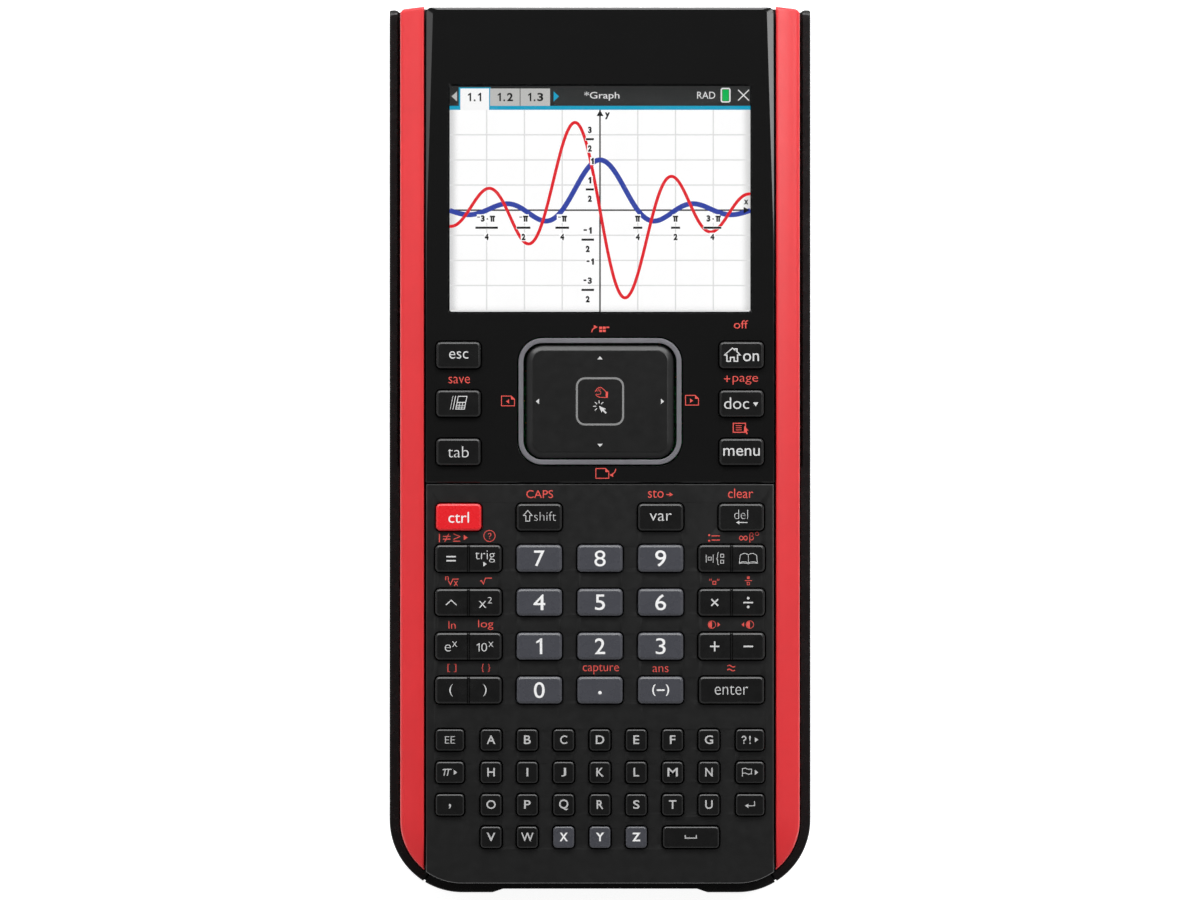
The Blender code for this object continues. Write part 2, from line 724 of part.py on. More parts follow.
def make_touch_ring():
    centre = (0, TOUCH_Y)
    lip = 1.1 * MM
    lip_top = UPPER_FACE - FACE_PLATE - GAP
    top = UPPER_FACE + RING_PROUD

    def outline(grow):
        return pad_outline(RING_SIZE, RING_CORNER, grow, 4, centre)

    ring = solid(
        "touch_ring",
        [
            [
                (outline(lip), lip_top - 0.7 * MM),
                (outline(lip), lip_top),
                (outline(0), lip_top),
                (outline(0), top - 0.3 * MM),
                (outline(-0.3 * MM), top),
            ]
        ],
    )
    opening = solid("touch_ring_opening", [prism(outline(-RING_WIDTH), KEY_FOOT, top + PAST)])
    combine(ring, opening, "DIFFERENCE")
    paint(ring, RING_GREY, 0.3)
    return ring


def make_touchpad():
    centre = (0, TOUCH_Y)
    origin = (0, TOUCH_Y, TOUCH_AXIS_Z)

    def outline(grow):
        return pad_outline(PAD_SIZE, PAD_CORNER, grow, 3, centre)

    rings = [
        (outline(0), PAD_Z[0]),
        (outline(0), PAD_Z[1] - 0.6 * MM),
        (outline(-PAD_BEVEL), PAD_Z[1]),
    ]
    pad = solid("touchpad", [rings], origin)
    paint(pad, BLACK, 0.3)

    sensor_outline = pad_outline(SENSOR_SIZE, 1 * MM, 0, 1, centre)
    sensor = solid("touch_sensor_board", [prism(sensor_outline, *SENSOR_Z)], origin)
    paint(sensor, BOARD_GREEN, 0.4)

    dome_outline = pad_outline(DOME_SIZE, 2 * MM, 0, 1, centre)
    dome = solid("touch_dome_pad", [prism(dome_outline, *DOME_Z)], origin)
    paint(dome, RUBBER, 0.8)


# ---------------------------------------------------------------- keys


def nav_places():
    """(name, centre) of the keys either side of the touchpad."""
    places = []
    for side, names in ((-1, ("esc", "scratchpad", "tab")), (1, ("home_on", "doc", "menu"))):
        for row, name in enumerate(names):
            places.append((f"key_{name}", (side * NAV_X, NAV_TOP_Y - row * NAV_PITCH)))
    return places


def plain_key_places():
    """(name, centre, size, colour) of the single keys in the lower face, above the letters."""
    places = [
        ("key_ctrl", (-FUNCTION_X, FUNCTION_Y), KEY_SIZE, KEY_RED),
        ("key_shift", (-COLUMN_PITCH, FUNCTION_Y), KEY_SIZE, SOFT_BLACK),
        ("key_var", (COLUMN_PITCH, FUNCTION_Y), KEY_SIZE, SOFT_BLACK),
        ("key_del", (FUNCTION_X, FUNCTION_Y), KEY_SIZE, SOFT_BLACK),
    ]
    rows = (("7", "8", "9"), ("4", "5", "6"), ("1", "2", "3"), ("0", "point", "negate"))
    for row, names in enumerate(rows):
        for column, name in enumerate(names):
            centre = ((column - 1) * COLUMN_PITCH, NUMBER_TOP_Y - row * ROW_PITCH)
            places.append((f"key_{name}", centre, KEY_SIZE, GREY))
    enter_y = NUMBER_TOP_Y - 3 * ROW_PITCH
    places.append(("key_enter", (PAIR_X, enter_y), (14.0 * MM, PAIR_SIZE[1]), SOFT_BLACK))
    return places


def rocker_places():
    """(name, centre) of the two-legend keys beside the number keys."""
    left = ("equals_trig", "power_square", "exponentials", "brackets")
    right = ("template_catalog", "multiply_divide", "plus_minus")
    places = []
    for side, names in ((-1, left), (1, right)):
        for row, name in enumerate(names):
            places.append((f"rocker_{name}", (side * PAIR_X, NUMBER_TOP_Y - row * ROW_PITCH)))
    return places


def letter_places(row):
    """(centre, size) of each key in one row of the letter keys."""
    y = LETTER_TOP_Y - row * LETTER_ROW_PITCH
    columns = 7 if row < 3 else 5
    places = [(((column - 3) * LETTER_PITCH, y), LETTER_SIZE) for column in range(columns)]
    if row < 3:
        places += [((side * SIDE_LETTER_X, y), SIDE_LETTER_SIZE) for side in (-1, 1)]
    else:
        places.append(((SPACE_X, y), SPACE_SIZE))
    return places


def cap_rings(centre, size, foot, top, flange=0.0):
    """A key cap with a bevelled top, on a flange when flange is more than 0."""

    def outline(grow):
        return pad_outline(size, KEY_CORNER, grow, 1, centre)

    rings = []
    if flange > 0:
        rings += [(outline(flange), foot), (outline(flange), KEY_FLANGE_TOP), (outline(0), KEY_FLANGE_TOP)]
    else:
        rings.append((outline(0), foot))
    rings += [(outline(0), top - KEY_BEVEL), (outline(-KEY_BEVEL), top)]
    return rings


def make_key(name, centre, size, face, colour):
    top = face + KEY_PROUD
    key = solid(name, [cap_rings(centre, size, KEY_FOOT, top, KEY_FLANGE)], (*centre, face))
    paint(key, colour, 0.45)
    return key


def make_rocker(name, centre):
    """A cap that tips left or right about the groove across its middle."""
    top = LOWER_FACE + KEY_PROUD
    origin = (*centre, ROCKER_AXIS_Z)
    rings = cap_rings(centre, PAIR_SIZE, KEY_FOOT, top, KEY_FLANGE)
    rocker = solid(name, [rings], origin)
    x, y = centre
    reach = PAIR_SIZE[1]
    groove = [
        (rectangle(x - 0.08 * MM, x + 0.08 * MM, y - reach, y + reach), top - 0.7 * MM),
        (rectangle(x - PAIR_GROOVE / 2, x + PAIR_GROOVE / 2, y - reach, y + reach), top + 0.1 * MM),
    ]
    combine(rocker, solid(name + "_groove", [groove], origin), "DIFFERENCE")
    paint(rocker, SOFT_BLACK, 0.45)
    return rocker


def make_letter_row(row):
    """A row of letter keys moulded on one web that runs behind the bezel."""
    places = letter_places(row)
    y = places[0][0][1]
    top = LOWER_FACE + KEY_PROUD
    origin = (0, y, LOWER_FACE)
    caps = [cap_rings(centre, size, KEY_FOOT + 0.1 * MM, top) for centre, size in places]
    x_low = min(centre[0] - size[0] / 2 for centre, size in places) + 0.1 * MM
    x_high = max(centre[0] + size[0] / 2 for centre, size in places) - 0.1 * MM
    web = block((x_low, x_high), (y - WEB_HALF_HEIGHT, y + WEB_HALF_HEIGHT), (KEY_FOOT, WEB_TOP))
    strip = solid(f"letter_row_{row + 1}", [web], origin)
    combine(strip, solid(f"letter_caps_{row + 1}", caps, origin), "UNION")
    paint(strip, SOFT_BLACK, 0.45)
    return strip


def make_keys():
    for name, centre in nav_places():
        make_key(name, centre, NAV_SIZE, UPPER_FACE, SOFT_BLACK)
    for name, centre, size, colour in plain_key_places():
        make_key(name, centre, size, LOWER_FACE, colour)
    for name, centre in rocker_places():
        make_rocker(name, centre)
    for row in range(4):
        make_letter_row(row)


# ---------------------------------------------------------------- assembly


def main():
    for obj in list(bpy.data.objects):
        bpy.data.objects.remove(obj)
    make_slide_cover()
    make_rear_case()
    make_side_rail("side_rail_left", -1)
    make_side_rail("side_rail_right", 1)
    make_display_bezel()
    make_keypad_bezel()
    make_display_window()
    make_lcd_panel()
    make_lcd_frame()
    make_main_board()
    make_key_membrane()
    make_battery_pack()
    make_battery_cover()
    make_screws()
    make_end_parts()
    make_touch_ring()
    make_touchpad()
    make_keys()


main()
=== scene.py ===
"""The looks of a handheld graphing calculator that lies on its back in its slide cover.

X runs across the face, +Y towards the display end and +Z out of the face. Lengths below are in
millimetres times MM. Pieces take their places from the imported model's boxes.
"""

import functools
import json
import math

import bmesh
import bpy
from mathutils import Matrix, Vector

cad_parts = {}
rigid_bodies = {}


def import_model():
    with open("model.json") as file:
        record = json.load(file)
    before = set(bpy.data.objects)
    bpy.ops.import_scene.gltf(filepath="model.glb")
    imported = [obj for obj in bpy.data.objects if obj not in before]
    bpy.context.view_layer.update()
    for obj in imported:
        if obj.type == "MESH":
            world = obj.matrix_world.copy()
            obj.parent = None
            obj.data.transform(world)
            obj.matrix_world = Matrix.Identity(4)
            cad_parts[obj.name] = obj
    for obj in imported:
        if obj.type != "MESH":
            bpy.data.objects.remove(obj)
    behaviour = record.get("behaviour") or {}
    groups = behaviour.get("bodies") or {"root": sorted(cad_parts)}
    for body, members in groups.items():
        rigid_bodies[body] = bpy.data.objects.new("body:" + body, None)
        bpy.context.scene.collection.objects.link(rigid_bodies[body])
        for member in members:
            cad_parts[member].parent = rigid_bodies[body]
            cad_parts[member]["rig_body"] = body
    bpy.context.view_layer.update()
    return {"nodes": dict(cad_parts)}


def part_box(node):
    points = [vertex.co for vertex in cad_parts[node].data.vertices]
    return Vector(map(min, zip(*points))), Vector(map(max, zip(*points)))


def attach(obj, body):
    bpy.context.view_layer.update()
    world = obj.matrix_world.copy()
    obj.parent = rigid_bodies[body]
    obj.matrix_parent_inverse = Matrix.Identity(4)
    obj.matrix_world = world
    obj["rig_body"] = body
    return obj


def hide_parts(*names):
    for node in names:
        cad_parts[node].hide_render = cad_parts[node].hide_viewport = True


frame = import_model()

MM = 0.001
GAP = 0.3 * MM
PAST = 1 * MM  # how far a cutter runs past the face it cuts


# ---------------------------------------------------------------- outlines, in metres, anticlockwise


def arc(centre, radius, start, end, steps=10):
    """Points along an arc, with the angles in degrees."""
    points = []
    for step in range(steps + 1):
        angle = math.radians(start + (end - start) * step / steps)
        points.append((centre[0] + radius * math.cos(angle), centre[1] + radius * math.sin(angle)))
    return points


def circle(centre, radius, steps=32):
    return arc(centre, radius, 0, 360 * (steps - 1) / steps, steps - 1)


def panel(x_low, x_high, y_low, y_high, corners, steps=10):
    """A rectangle with round corners: one radius, or four from the low right one anticlockwise."""
    if not isinstance(corners, tuple):
        corners = (corners,) * 4
    places = ((x_high, y_low, -1, 1), (x_high, y_high, -1, -1), (x_low, y_high, 1, -1), (x_low, y_low, 1, 1))
    points = []
    for turn, (radius, (x, y, across, along)) in enumerate(zip(corners, places)):
        centre = (x + across * radius, y + along * radius)
        points += arc(centre, radius, 90 * turn - 90, 90 * turn, steps)
    return points


def inside(node, reach, corners, steps=10):
    """A round-cornered outline that stays reach inside the sides of a node's box."""
    low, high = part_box(node)
    return panel(low.x + reach, high.x - reach, low.y + reach, high.y - reach, corners, steps)


def rectangle(x, y, width, height):
    """The corners of an upright rectangle about a point."""
    return [(x + i * width / 2, y + j * height / 2) for i, j in ((1, -1), (1, 1), (-1, 1), (-1, -1))]


def pad(x, y, width, height, corner, steps=8):
    """A round-cornered rectangle about a point."""
    return panel(x - width / 2, x + width / 2, y - height / 2, y + height / 2, corner, steps)


def centre_of(node):
    low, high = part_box(node)
    return ((low.x + high.x) / 2, (low.y + high.y) / 2)


def mirrored(points):
    """The outline's mirror image in X, still anticlockwise."""
    return [(-x, y) for x, y in reversed(points)]


def inset(points, distance):
    """The outline moved inwards by distance, square to its sides."""
    moved = []
    for i, (x, y) in enumerate(points):
        before = Vector((x - points[i - 1][0], y - points[i - 1][1])).normalized()
        after_point = points[(i + 1) % len(points)]
        after = Vector((after_point[0] - x, after_point[1] - y)).normalized()
        share = distance / max(1 + before.dot(after), 0.3)
        moved.append((x - (before.y + after.y) * share, y + (before.x + after.x) * share))
    return moved


def flat(points, height):
    return [(x, y, height) for x, y in points]


def rings(outline, profile):
    """Rings of points for a skin: one for each (inset, height) of the profile."""
    return [flat(inset(outline, distance), height) for distance, height in profile]


def edge_profile(width, height, top, steps=4):
    """(inset, height) down a quarter-round edge, from the flat top outwards and down."""
    profile = []
    for step in range(steps + 1):
        angle = math.pi / 2 * step / steps
        profile.append((width * (1 - math.sin(angle)), top - height * (1 - math.cos(angle))))
    return profile


def below(top, profile):
    """(inset, height) from a profile of (inset, fall) in millimetres."""
    return [(distance * MM, top - fall * MM) for distance, fall in profile]


# ---------------------------------------------------------------- meshes


def skin(mesh, levels, index=0):
    """Side faces between rings of points, given top first. Returns the rings' vertices."""
    made = [[mesh.verts.new(point) for point in level] for level in levels]
    for upper, lower in zip(made, made[1:]):
        for i in range(len(upper)):
            face = mesh.faces.new((upper[i - 1], lower[i - 1], lower[i], upper[i]))
            face.material_index = index
    return made


def block_in(mesh, levels, index=0):
    """A closed block through the rings, top first, added to a mesh."""
    made = skin(mesh, levels, index)
    for loop in (made[0], list(reversed(made[-1]))):
        mesh.faces.new(loop).material_index = index


def new_object(name, data):
    obj = bpy.data.objects.new(name, data)
    bpy.context.scene.collection.objects.link(obj)
    return obj


def object_from(mesh, name):
    bmesh.ops.recalc_face_normals(mesh, faces=mesh.faces)
    data = bpy.data.meshes.new(name)
    mesh.to_mesh(data)
    mesh.free()
    return new_object(name, data)


def solid(name, *stacks):
    """One object with a closed block for each stack of rings."""
    mesh = bmesh.new()
    for levels in stacks:
        block_in(mesh, levels)
    return object_from(mesh, name)


def slab(name, outer, holes):
    """A closed slab between an outer boundary and holes, each a list of rings with the top first."""
    mesh = bmesh.new()
    boundaries = [skin(mesh, levels) for levels in [outer] + holes]
    for end in (0, -1):
        edges = []
        for made in boundaries:
            loop = made[end]
            edges += [mesh.edges.get((loop[i - 1], loop[i])) for i in range(len(loop))]
        bmesh.ops.triangle_fill(mesh, use_beauty=True, use_dissolve=False, edges=edges)
    return object_from(mesh, name)


def evaluated_mesh(obj):
    depsgraph = bpy.context.evaluated_depsgraph_get()
    return bpy.data.meshes.new_from_object(obj.evaluated_get(depsgraph), depsgraph=depsgraph)


def combine(target, helper, operation="DIFFERENCE"):
    """Applies a Boolean with a helper object, which goes away."""
    modifier = target.modifiers.new("cut", "BOOLEAN")
    modifier.operation = operation
    modifier.object = helper
    target.data = evaluated_mesh(target)
    target.modifiers.clear()
    bpy.data.objects.remove(helper)


def soften(obj, width, segments=3):
    """Rounds the sharp edges that a cut left."""
    bevel = obj.modifiers.new("soften", "BEVEL")
    bevel.width = width
    bevel.segments = segments
    bevel.limit_method = "ANGLE"
    bevel.angle_limit = math.radians(40)
    bevel.use_clamp_overlap = True
    obj.data = evaluated_mesh(obj)
    obj.modifiers.clear()


def mark_edges(obj):
    """Stores how sharply each vertex stands out, which the materials use for wear."""
    mesh = bmesh.new()
    mesh.from_mesh(obj.data)
    values = []
    for vertex in mesh.verts:
        angles = [edge.calc_face_angle_signed(0.0) for edge in vertex.link_edges]
        values.append(min(max(max(angles, default=0.0), 0.0) / 0.5, 1.0))
    mesh.free()
    attribute = obj.data.attributes.new("edge", "FLOAT", "POINT")
    attribute.data.foreach_set("value", values)


def finish_shape(obj, sharp=50):
    """Smooth shading that keeps the flats flat."""
    mark_edges(obj)
    obj.data.shade_smooth()
    obj.data.set_sharp_from_angle(angle=math.radians(sharp))
    weights = obj.modifiers.new("flat_faces", "WEIGHTED_NORMAL")
    weights.keep_sharp = True
    return obj


def place(obj, node, slot, *materials, instead=True):
    """The piece rides with the CAD node's body and, by default, is shown instead of it."""
    for material in materials:
        obj.data.materials.append(material)
    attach(obj, frame["nodes"][node]["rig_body"])
    if instead:
        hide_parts(node)


# ---------------------------------------------------------------- materials


def linear(colour):
    """A hex colour as linear red, green and blue."""
    values = []
    for i in (1, 3, 5):
        value = int(colour[i : i + 2], 16) / 255
        values.append(value / 12.92 if value <= 0.04045 else ((value + 0.055) / 1.055) ** 2.4)
    return values


class Nodes:
    """Short calls for building one material's node tree."""

    def __init__(self, name):
        self.material = bpy.data.materials.new(name)
        self.material.use_nodes = True
        self.tree = self.material.node_tree
        self.shader = self.tree.nodes["Principled BSDF"]
        self.place = self.tree.nodes.new("ShaderNodeTexCoord").outputs["Object"]

    def node(self, kind, inputs=(), **settings):
        made = self.tree.nodes.new("ShaderNode" + kind)
        for key, value in settings.items():
            setattr(made, key, value)
        for socket, value in dict(inputs).items():
            self.put(made.inputs[socket], value)
        return made

    def put(self, socket, value):
        if isinstance(value, bpy.types.NodeSocket):
            self.tree.links.new(value, socket)
        else:
            socket.default_value = value

    def noise(self, size, detail=3.0, roughness=0.55, distortion=0.0):
        """Noise with features about this many metres across."""
        inputs = {"Vector": self.place, "Scale": 1 / size, "Detail": detail}
        inputs.update({"Roughness": roughness, "Distortion": distortion})
        return self.node("TexNoise", inputs).outputs["Fac"]

    def scale_to(self, value, low, high, to_low, to_high):
        inputs = {"Value": value, "From Min": low, "From Max": high, "To Min": to_low, "To Max": to_high}
        return self.node("MapRange", inputs).outputs["Result"]

    def times(self, a, b):
        return self.node("Math", {0: a, 1: b}, operation="MULTIPLY").outputs[0]

    def blend(self, factor, a, b):
        """From colour a at factor 0 to colour b at factor 1."""
        mix = self.node("Mix", data_type="RGBA")
        self.put(mix.inputs["Factor"], factor)
        self.put(mix.inputs[6], a)
        self.put(mix.inputs[7], b)
        return mix.outputs[2]

    def bump(self, height, depth, normal=None):
        made = self.node("Bump", {"Height": height, "Distance": depth, "Strength": 1.0})
        if normal is not None:
            self.put(made.inputs["Normal"], normal)
        return made.outputs["Normal"]

    def set(self, **values):
        """Sets the shader's inputs and returns the material."""
        for name, value in values.items():
            self.put(self.shader.inputs[name.replace("_", " ")], value)
        return self.material


def shade(colour, share):
    """The colour with its brightness times share, as a node value."""
    return (*[min(value * share, 1.0) for value in linear(colour)], 1.0)


def moulded(name, colour, roughness, grain=0.35 * MM, depth=0.006 * MM, wear=0.5, drift=0.1):
    """Moulded plastic: fine spark-eroded grain, drifting colour and gloss, and polished worn edges."""
    nodes = Nodes(name)
    fine = nodes.noise(grain, 1.5, 0.5)
    broad = nodes.noise(14 * MM, 5.0, 0.6, 0.4)
    patches = nodes.noise(2.2 * MM, 4.0, 0.6)
    clouds = nodes.scale_to(broad, 0.3, 0.7, 0.0, 1.0)
    base = nodes.blend(clouds, shade(colour, 1 - drift), shade(colour, 1 + drift))
    edge = nodes.node("Attribute", attribute_name="edge").outputs["Fac"]
    worn = nodes.times(edge, nodes.scale_to(patches, 0.42, 0.68, 0.0, wear))
    base = nodes.blend(worn, base, shade(colour, 1.7))
    gloss = nodes.scale_to(patches, 0.3, 0.7, roughness - 0.02, roughness + 0.03)
    return nodes.set(Base_Color=base, Roughness=gloss, Normal=nodes.bump(fine, depth))


def lacquer(name, colour, roughness):
    """Glossy lacquered plastic: a slow ripple, fine hazy wipe marks and a little dust."""
    nodes = Nodes(name)
    stretch = nodes.node("Mapping", {"Vector": nodes.place, "Rotation": (0, 0, 0.6), "Scale": (1, 4, 1)})
    wipes = nodes.node("TexNoise", {"Vector": stretch.outputs[0], "Scale": 1 / (20 * MM), "Detail": 3.0})
    smudge = nodes.noise(16 * MM, 4.0, 0.6, 0.8)
    haze = nodes.times(nodes.scale_to(wipes.outputs["Fac"], 0.5, 0.75, 0.0, 1.0), smudge)
    gloss = nodes.scale_to(haze, 0.0, 0.6, roughness, roughness + 0.05)
    base = nodes.blend(smudge, shade(colour, 0.92), shade(colour, 1.08))
    ripple = nodes.bump(nodes.noise(3.5 * MM, 2.0), 0.0012 * MM)
    normal = nodes.bump(nodes.noise(0.12 * MM, 2.0), 0.0002 * MM, ripple)
    return nodes.set(Base_Color=base, Roughness=gloss, Normal=normal)


def ink(name, colour):
    """Pad-printed ink: slightly uneven cover and a dry surface."""
    nodes = Nodes(name)
    cover = nodes.scale_to(nodes.noise(0.5 * MM, 3.0), 0.35, 0.65, 0.0, 1.0)
    base = nodes.blend(cover, shade(colour, 0.93), shade(colour, 1.03))
    gloss = nodes.scale_to(cover, 0.0, 1.0, 0.5, 0.62)
    normal = nodes.bump(nodes.noise(0.1 * MM), 0.0015 * MM)
    return nodes.set(Base_Color=base, Roughness=gloss, Normal=normal, Specular_IOR_Level=0.3)


def metal(name, colour, roughness, stretch=(1, 1, 14)):
    """Plated or bright metal with fine drawn lines and a few dull patches."""
    nodes = Nodes(name)
    lines = nodes.node("Mapping", {"Vector": nodes.place, "Scale": stretch})
    drawn = nodes.node("TexNoise", {"Vector": lines.outputs[0], "Scale": 1 / (0.9 * MM), "Detail": 5.0})
    patches = nodes.noise(3 * MM, 4.0)
    base = nodes.blend(patches, shade(colour, 0.85), shade(colour, 1.1))
    gloss = nodes.scale_to(patches, 0.3, 0.7, roughness - 0.06, roughness + 0.1)
    normal = nodes.bump(drawn.outputs["Fac"], 0.003 * MM)
    return nodes.set(Base_Color=base, Metallic=1.0, Roughness=gloss, Normal=normal)


def circuit(name, colour, copper):
    """A circuit board: solder mask over a grid of copper tracks."""
    nodes = Nodes(name)
    cells = nodes.node("TexVoronoi", {"Vector": nodes.place, "Scale": 1 / (2.4 * MM)}, distance="MANHATTAN")
    bricks = {"Vector": nodes.place, "Scale": 1 / (6 * MM), "Mortar Size": 0.035}
    bricks.update({"Color1": (0, 0, 0, 1), "Color2": (0, 0, 0, 1), "Mortar": (1, 1, 1, 1)})
    tracks = nodes.node("TexBrick", bricks)
    pads = nodes.scale_to(cells.outputs["Distance"], 0.16, 0.2, 1.0, 0.0)
    base = nodes.blend(tracks.outputs["Color"], shade(colour, 1.0), shade(colour, 1.9))
    base = nodes.blend(pads, base, shade(copper, 1.0))
    gloss = nodes.scale_to(nodes.noise(4 * MM), 0.3, 0.7, 0.28, 0.42)
    return nodes.set(Base_Color=base, Roughness=gloss, Normal=nodes.bump(pads, 0.02 * MM))


def glowing(name, colour, painted_edge_shade=False):
    """Part of the lit picture. On request its paper darkens a little towards the sides and foot of the
    display: painted shade that stands in for the shadow of the window's edges.
    """
    nodes = Nodes(name)
    tone_and_shade = nodes.scale_to(nodes.noise(9 * MM, 3.0), 0.3, 0.7, 0.985, 1.0)
    # painted shade: the paper's light is lowered along its sides and foot, in place of the shadow that the
    # window's edges cast
    if painted_edge_shade:
        half = PICTURE_SIZE[0] / 2
        axes = nodes.node("SeparateXYZ", {0: nodes.place}).outputs
        across = nodes.node("Math", {0: axes["X"]}, operation="ABSOLUTE").outputs[0]
        fade = {"Value": across, "From Min": half - 2.3 * MM, "From Max": half, "To Min": 1.0, "To Max": 0.66}
        side = nodes.node("MapRange", fade, interpolation_type="SMOOTHSTEP")
        low_y = centre_of("lcd_panel")[1] - PICTURE_SIZE[1] / 2
        foot = nodes.scale_to(axes["Y"], low_y, low_y + 1.6 * MM, 0.86, 1.0)
        tone_and_shade = nodes.times(tone_and_shade, nodes.times(side.outputs["Result"], foot))
    light = nodes.blend(tone_and_shade, (0, 0, 0, 1), shade(colour, 1.0))
    nodes.set(Base_Color=(0.01, 0.01, 0.01, 1), Roughness=0.6, Specular_IOR_Level=0.2)
    return nodes.set(Emission_Color=light, Emission_Strength=1.09)


def clear(name, tint="#ffffff", roughness=0.015):
    """Clear acrylic with faint smudges."""
    nodes = Nodes(name)
    smudge = nodes.scale_to(nodes.noise(11 * MM, 5.0, 0.6, 0.7), 0.5, 0.8, roughness, roughness + 0.03)
    return nodes.set(Base_Color=shade(tint, 1.0), Transmission_Weight=1.0, IOR=1.49, Roughness=smudge)


def foil(name, colour):
    """A battery's printed sleeve: shrink-film wrinkles over a satin print."""
    nodes = Nodes(name)
    wrinkles = nodes.noise(3 * MM, 4.0, 0.5, 1.2)
    base = nodes.blend(nodes.noise(20 * MM), shade(colour, 0.85), shade(colour, 1.15))
    gloss = nodes.scale_to(wrinkles, 0.3, 0.7, 0.2, 0.36)
    return nodes.set(Base_Color=base, Roughness=gloss, Normal=nodes.bump(wrinkles, 0.04 * MM))


PICTURE_SIZE = (65.0 * MM, 48.8 * MM)  # the lit part of the display

COVER_BLACK = moulded("cover_black", "#191818", 0.26, depth=0.004 * MM)
CASE_BLACK = moulded("case_black", "#1c1c1c", 0.5)
BEZEL_GLOSS = lacquer("bezel_gloss", "#151515", 0.1)
BEZEL_MATTE = moulded("bezel_matte", "#181818", 0.36, depth=0.003 * MM)
RAIL_RED = moulded("rail_red", "#dc3237", 0.3, 0.5 * MM, 0.0012 * MM, 0.1, 0.04)
RING_GREY = moulded("ring_grey", "#6e6d72", 0.4, depth=0.002 * MM, wear=0.2)
TOUCH_BLACK = moulded("touch_black", "#1b1b1b", 0.3, depth=0.0008 * MM)
KEY_BLACK = moulded("key_black", "#151515", 0.25, depth=0.0006 * MM)
KEY_GREY = moulded("key_grey", "#46474d", 0.27, depth=0.0004 * MM, wear=0.25, drift=0.03)
KEY_RED = moulded("key_red", "#e4232a", 0.27, depth=0.0004 * MM, wear=0.2, drift=0.03)
WINDOW_CLEAR = clear("window_clear")
LED_CLEAR = clear("led_clear", "#cfe8d2", 0.2)
LCD_BORDER = lacquer("lcd_border", "#0b0b0c", 0.2)
STEEL = metal("screw_steel", "#b9babd", 0.28)
SOCKET_STEEL = metal("usb_steel", "#c6c7ca", 0.3, (14, 1, 1))
FRAME_STEEL = metal("frame_steel", "#a8a9ac", 0.42, (14, 1, 1))
BOARD = circuit("board_green", "#0d5a2c", "#c8963c")
RUBBER = moulded("rubber_dark", "#3a3a3d", 0.75, grain=0.6 * MM, depth=0.012 * MM, wear=0.1)
BATTERY_FOIL = foil("battery_foil", "#5b6672")
DOCK_BLACK = moulded("dock_black", "#161616", 0.5)
WHITE_INK = ink("white_ink", "#f0f0f0")
PALE_INK = ink("pale_ink", "#d2d2d2")
GREY_INK = ink("grey_ink", "#bfbfbf")
RED_INK = ink("red_ink", "#e7574f")
DIM_INK = ink("dim_ink", "#868686")


# ---------------------------------------------------------------- thin printed marks


@functools.cache
def glyphs(text, bold):
    """The text as a flat mesh whose box runs from 0 to 1 both ways: (vertices, faces)."""
    curve = bpy.data.curves.new("text", "FONT")
    curve.body = text
    curve.offset = bold
    curve.resolution_u = 5
    obj = new_object("text", curve)
    mesh = evaluated_mesh(obj)
    bpy.data.objects.remove(obj)
    points = [vertex.co for vertex in mesh.vertices]
    low_x, high_x = min(p.x for p in points), max(p.x for p in points)
    low_y, high_y = min(p.y for p in points), max(p.y for p in points)
    unit = [((p.x - low_x) / (high_x - low_x), (p.y - low_y) / (high_y - low_y)) for p in points]
    return unit, [list(face.vertices) for face in mesh.polygons]


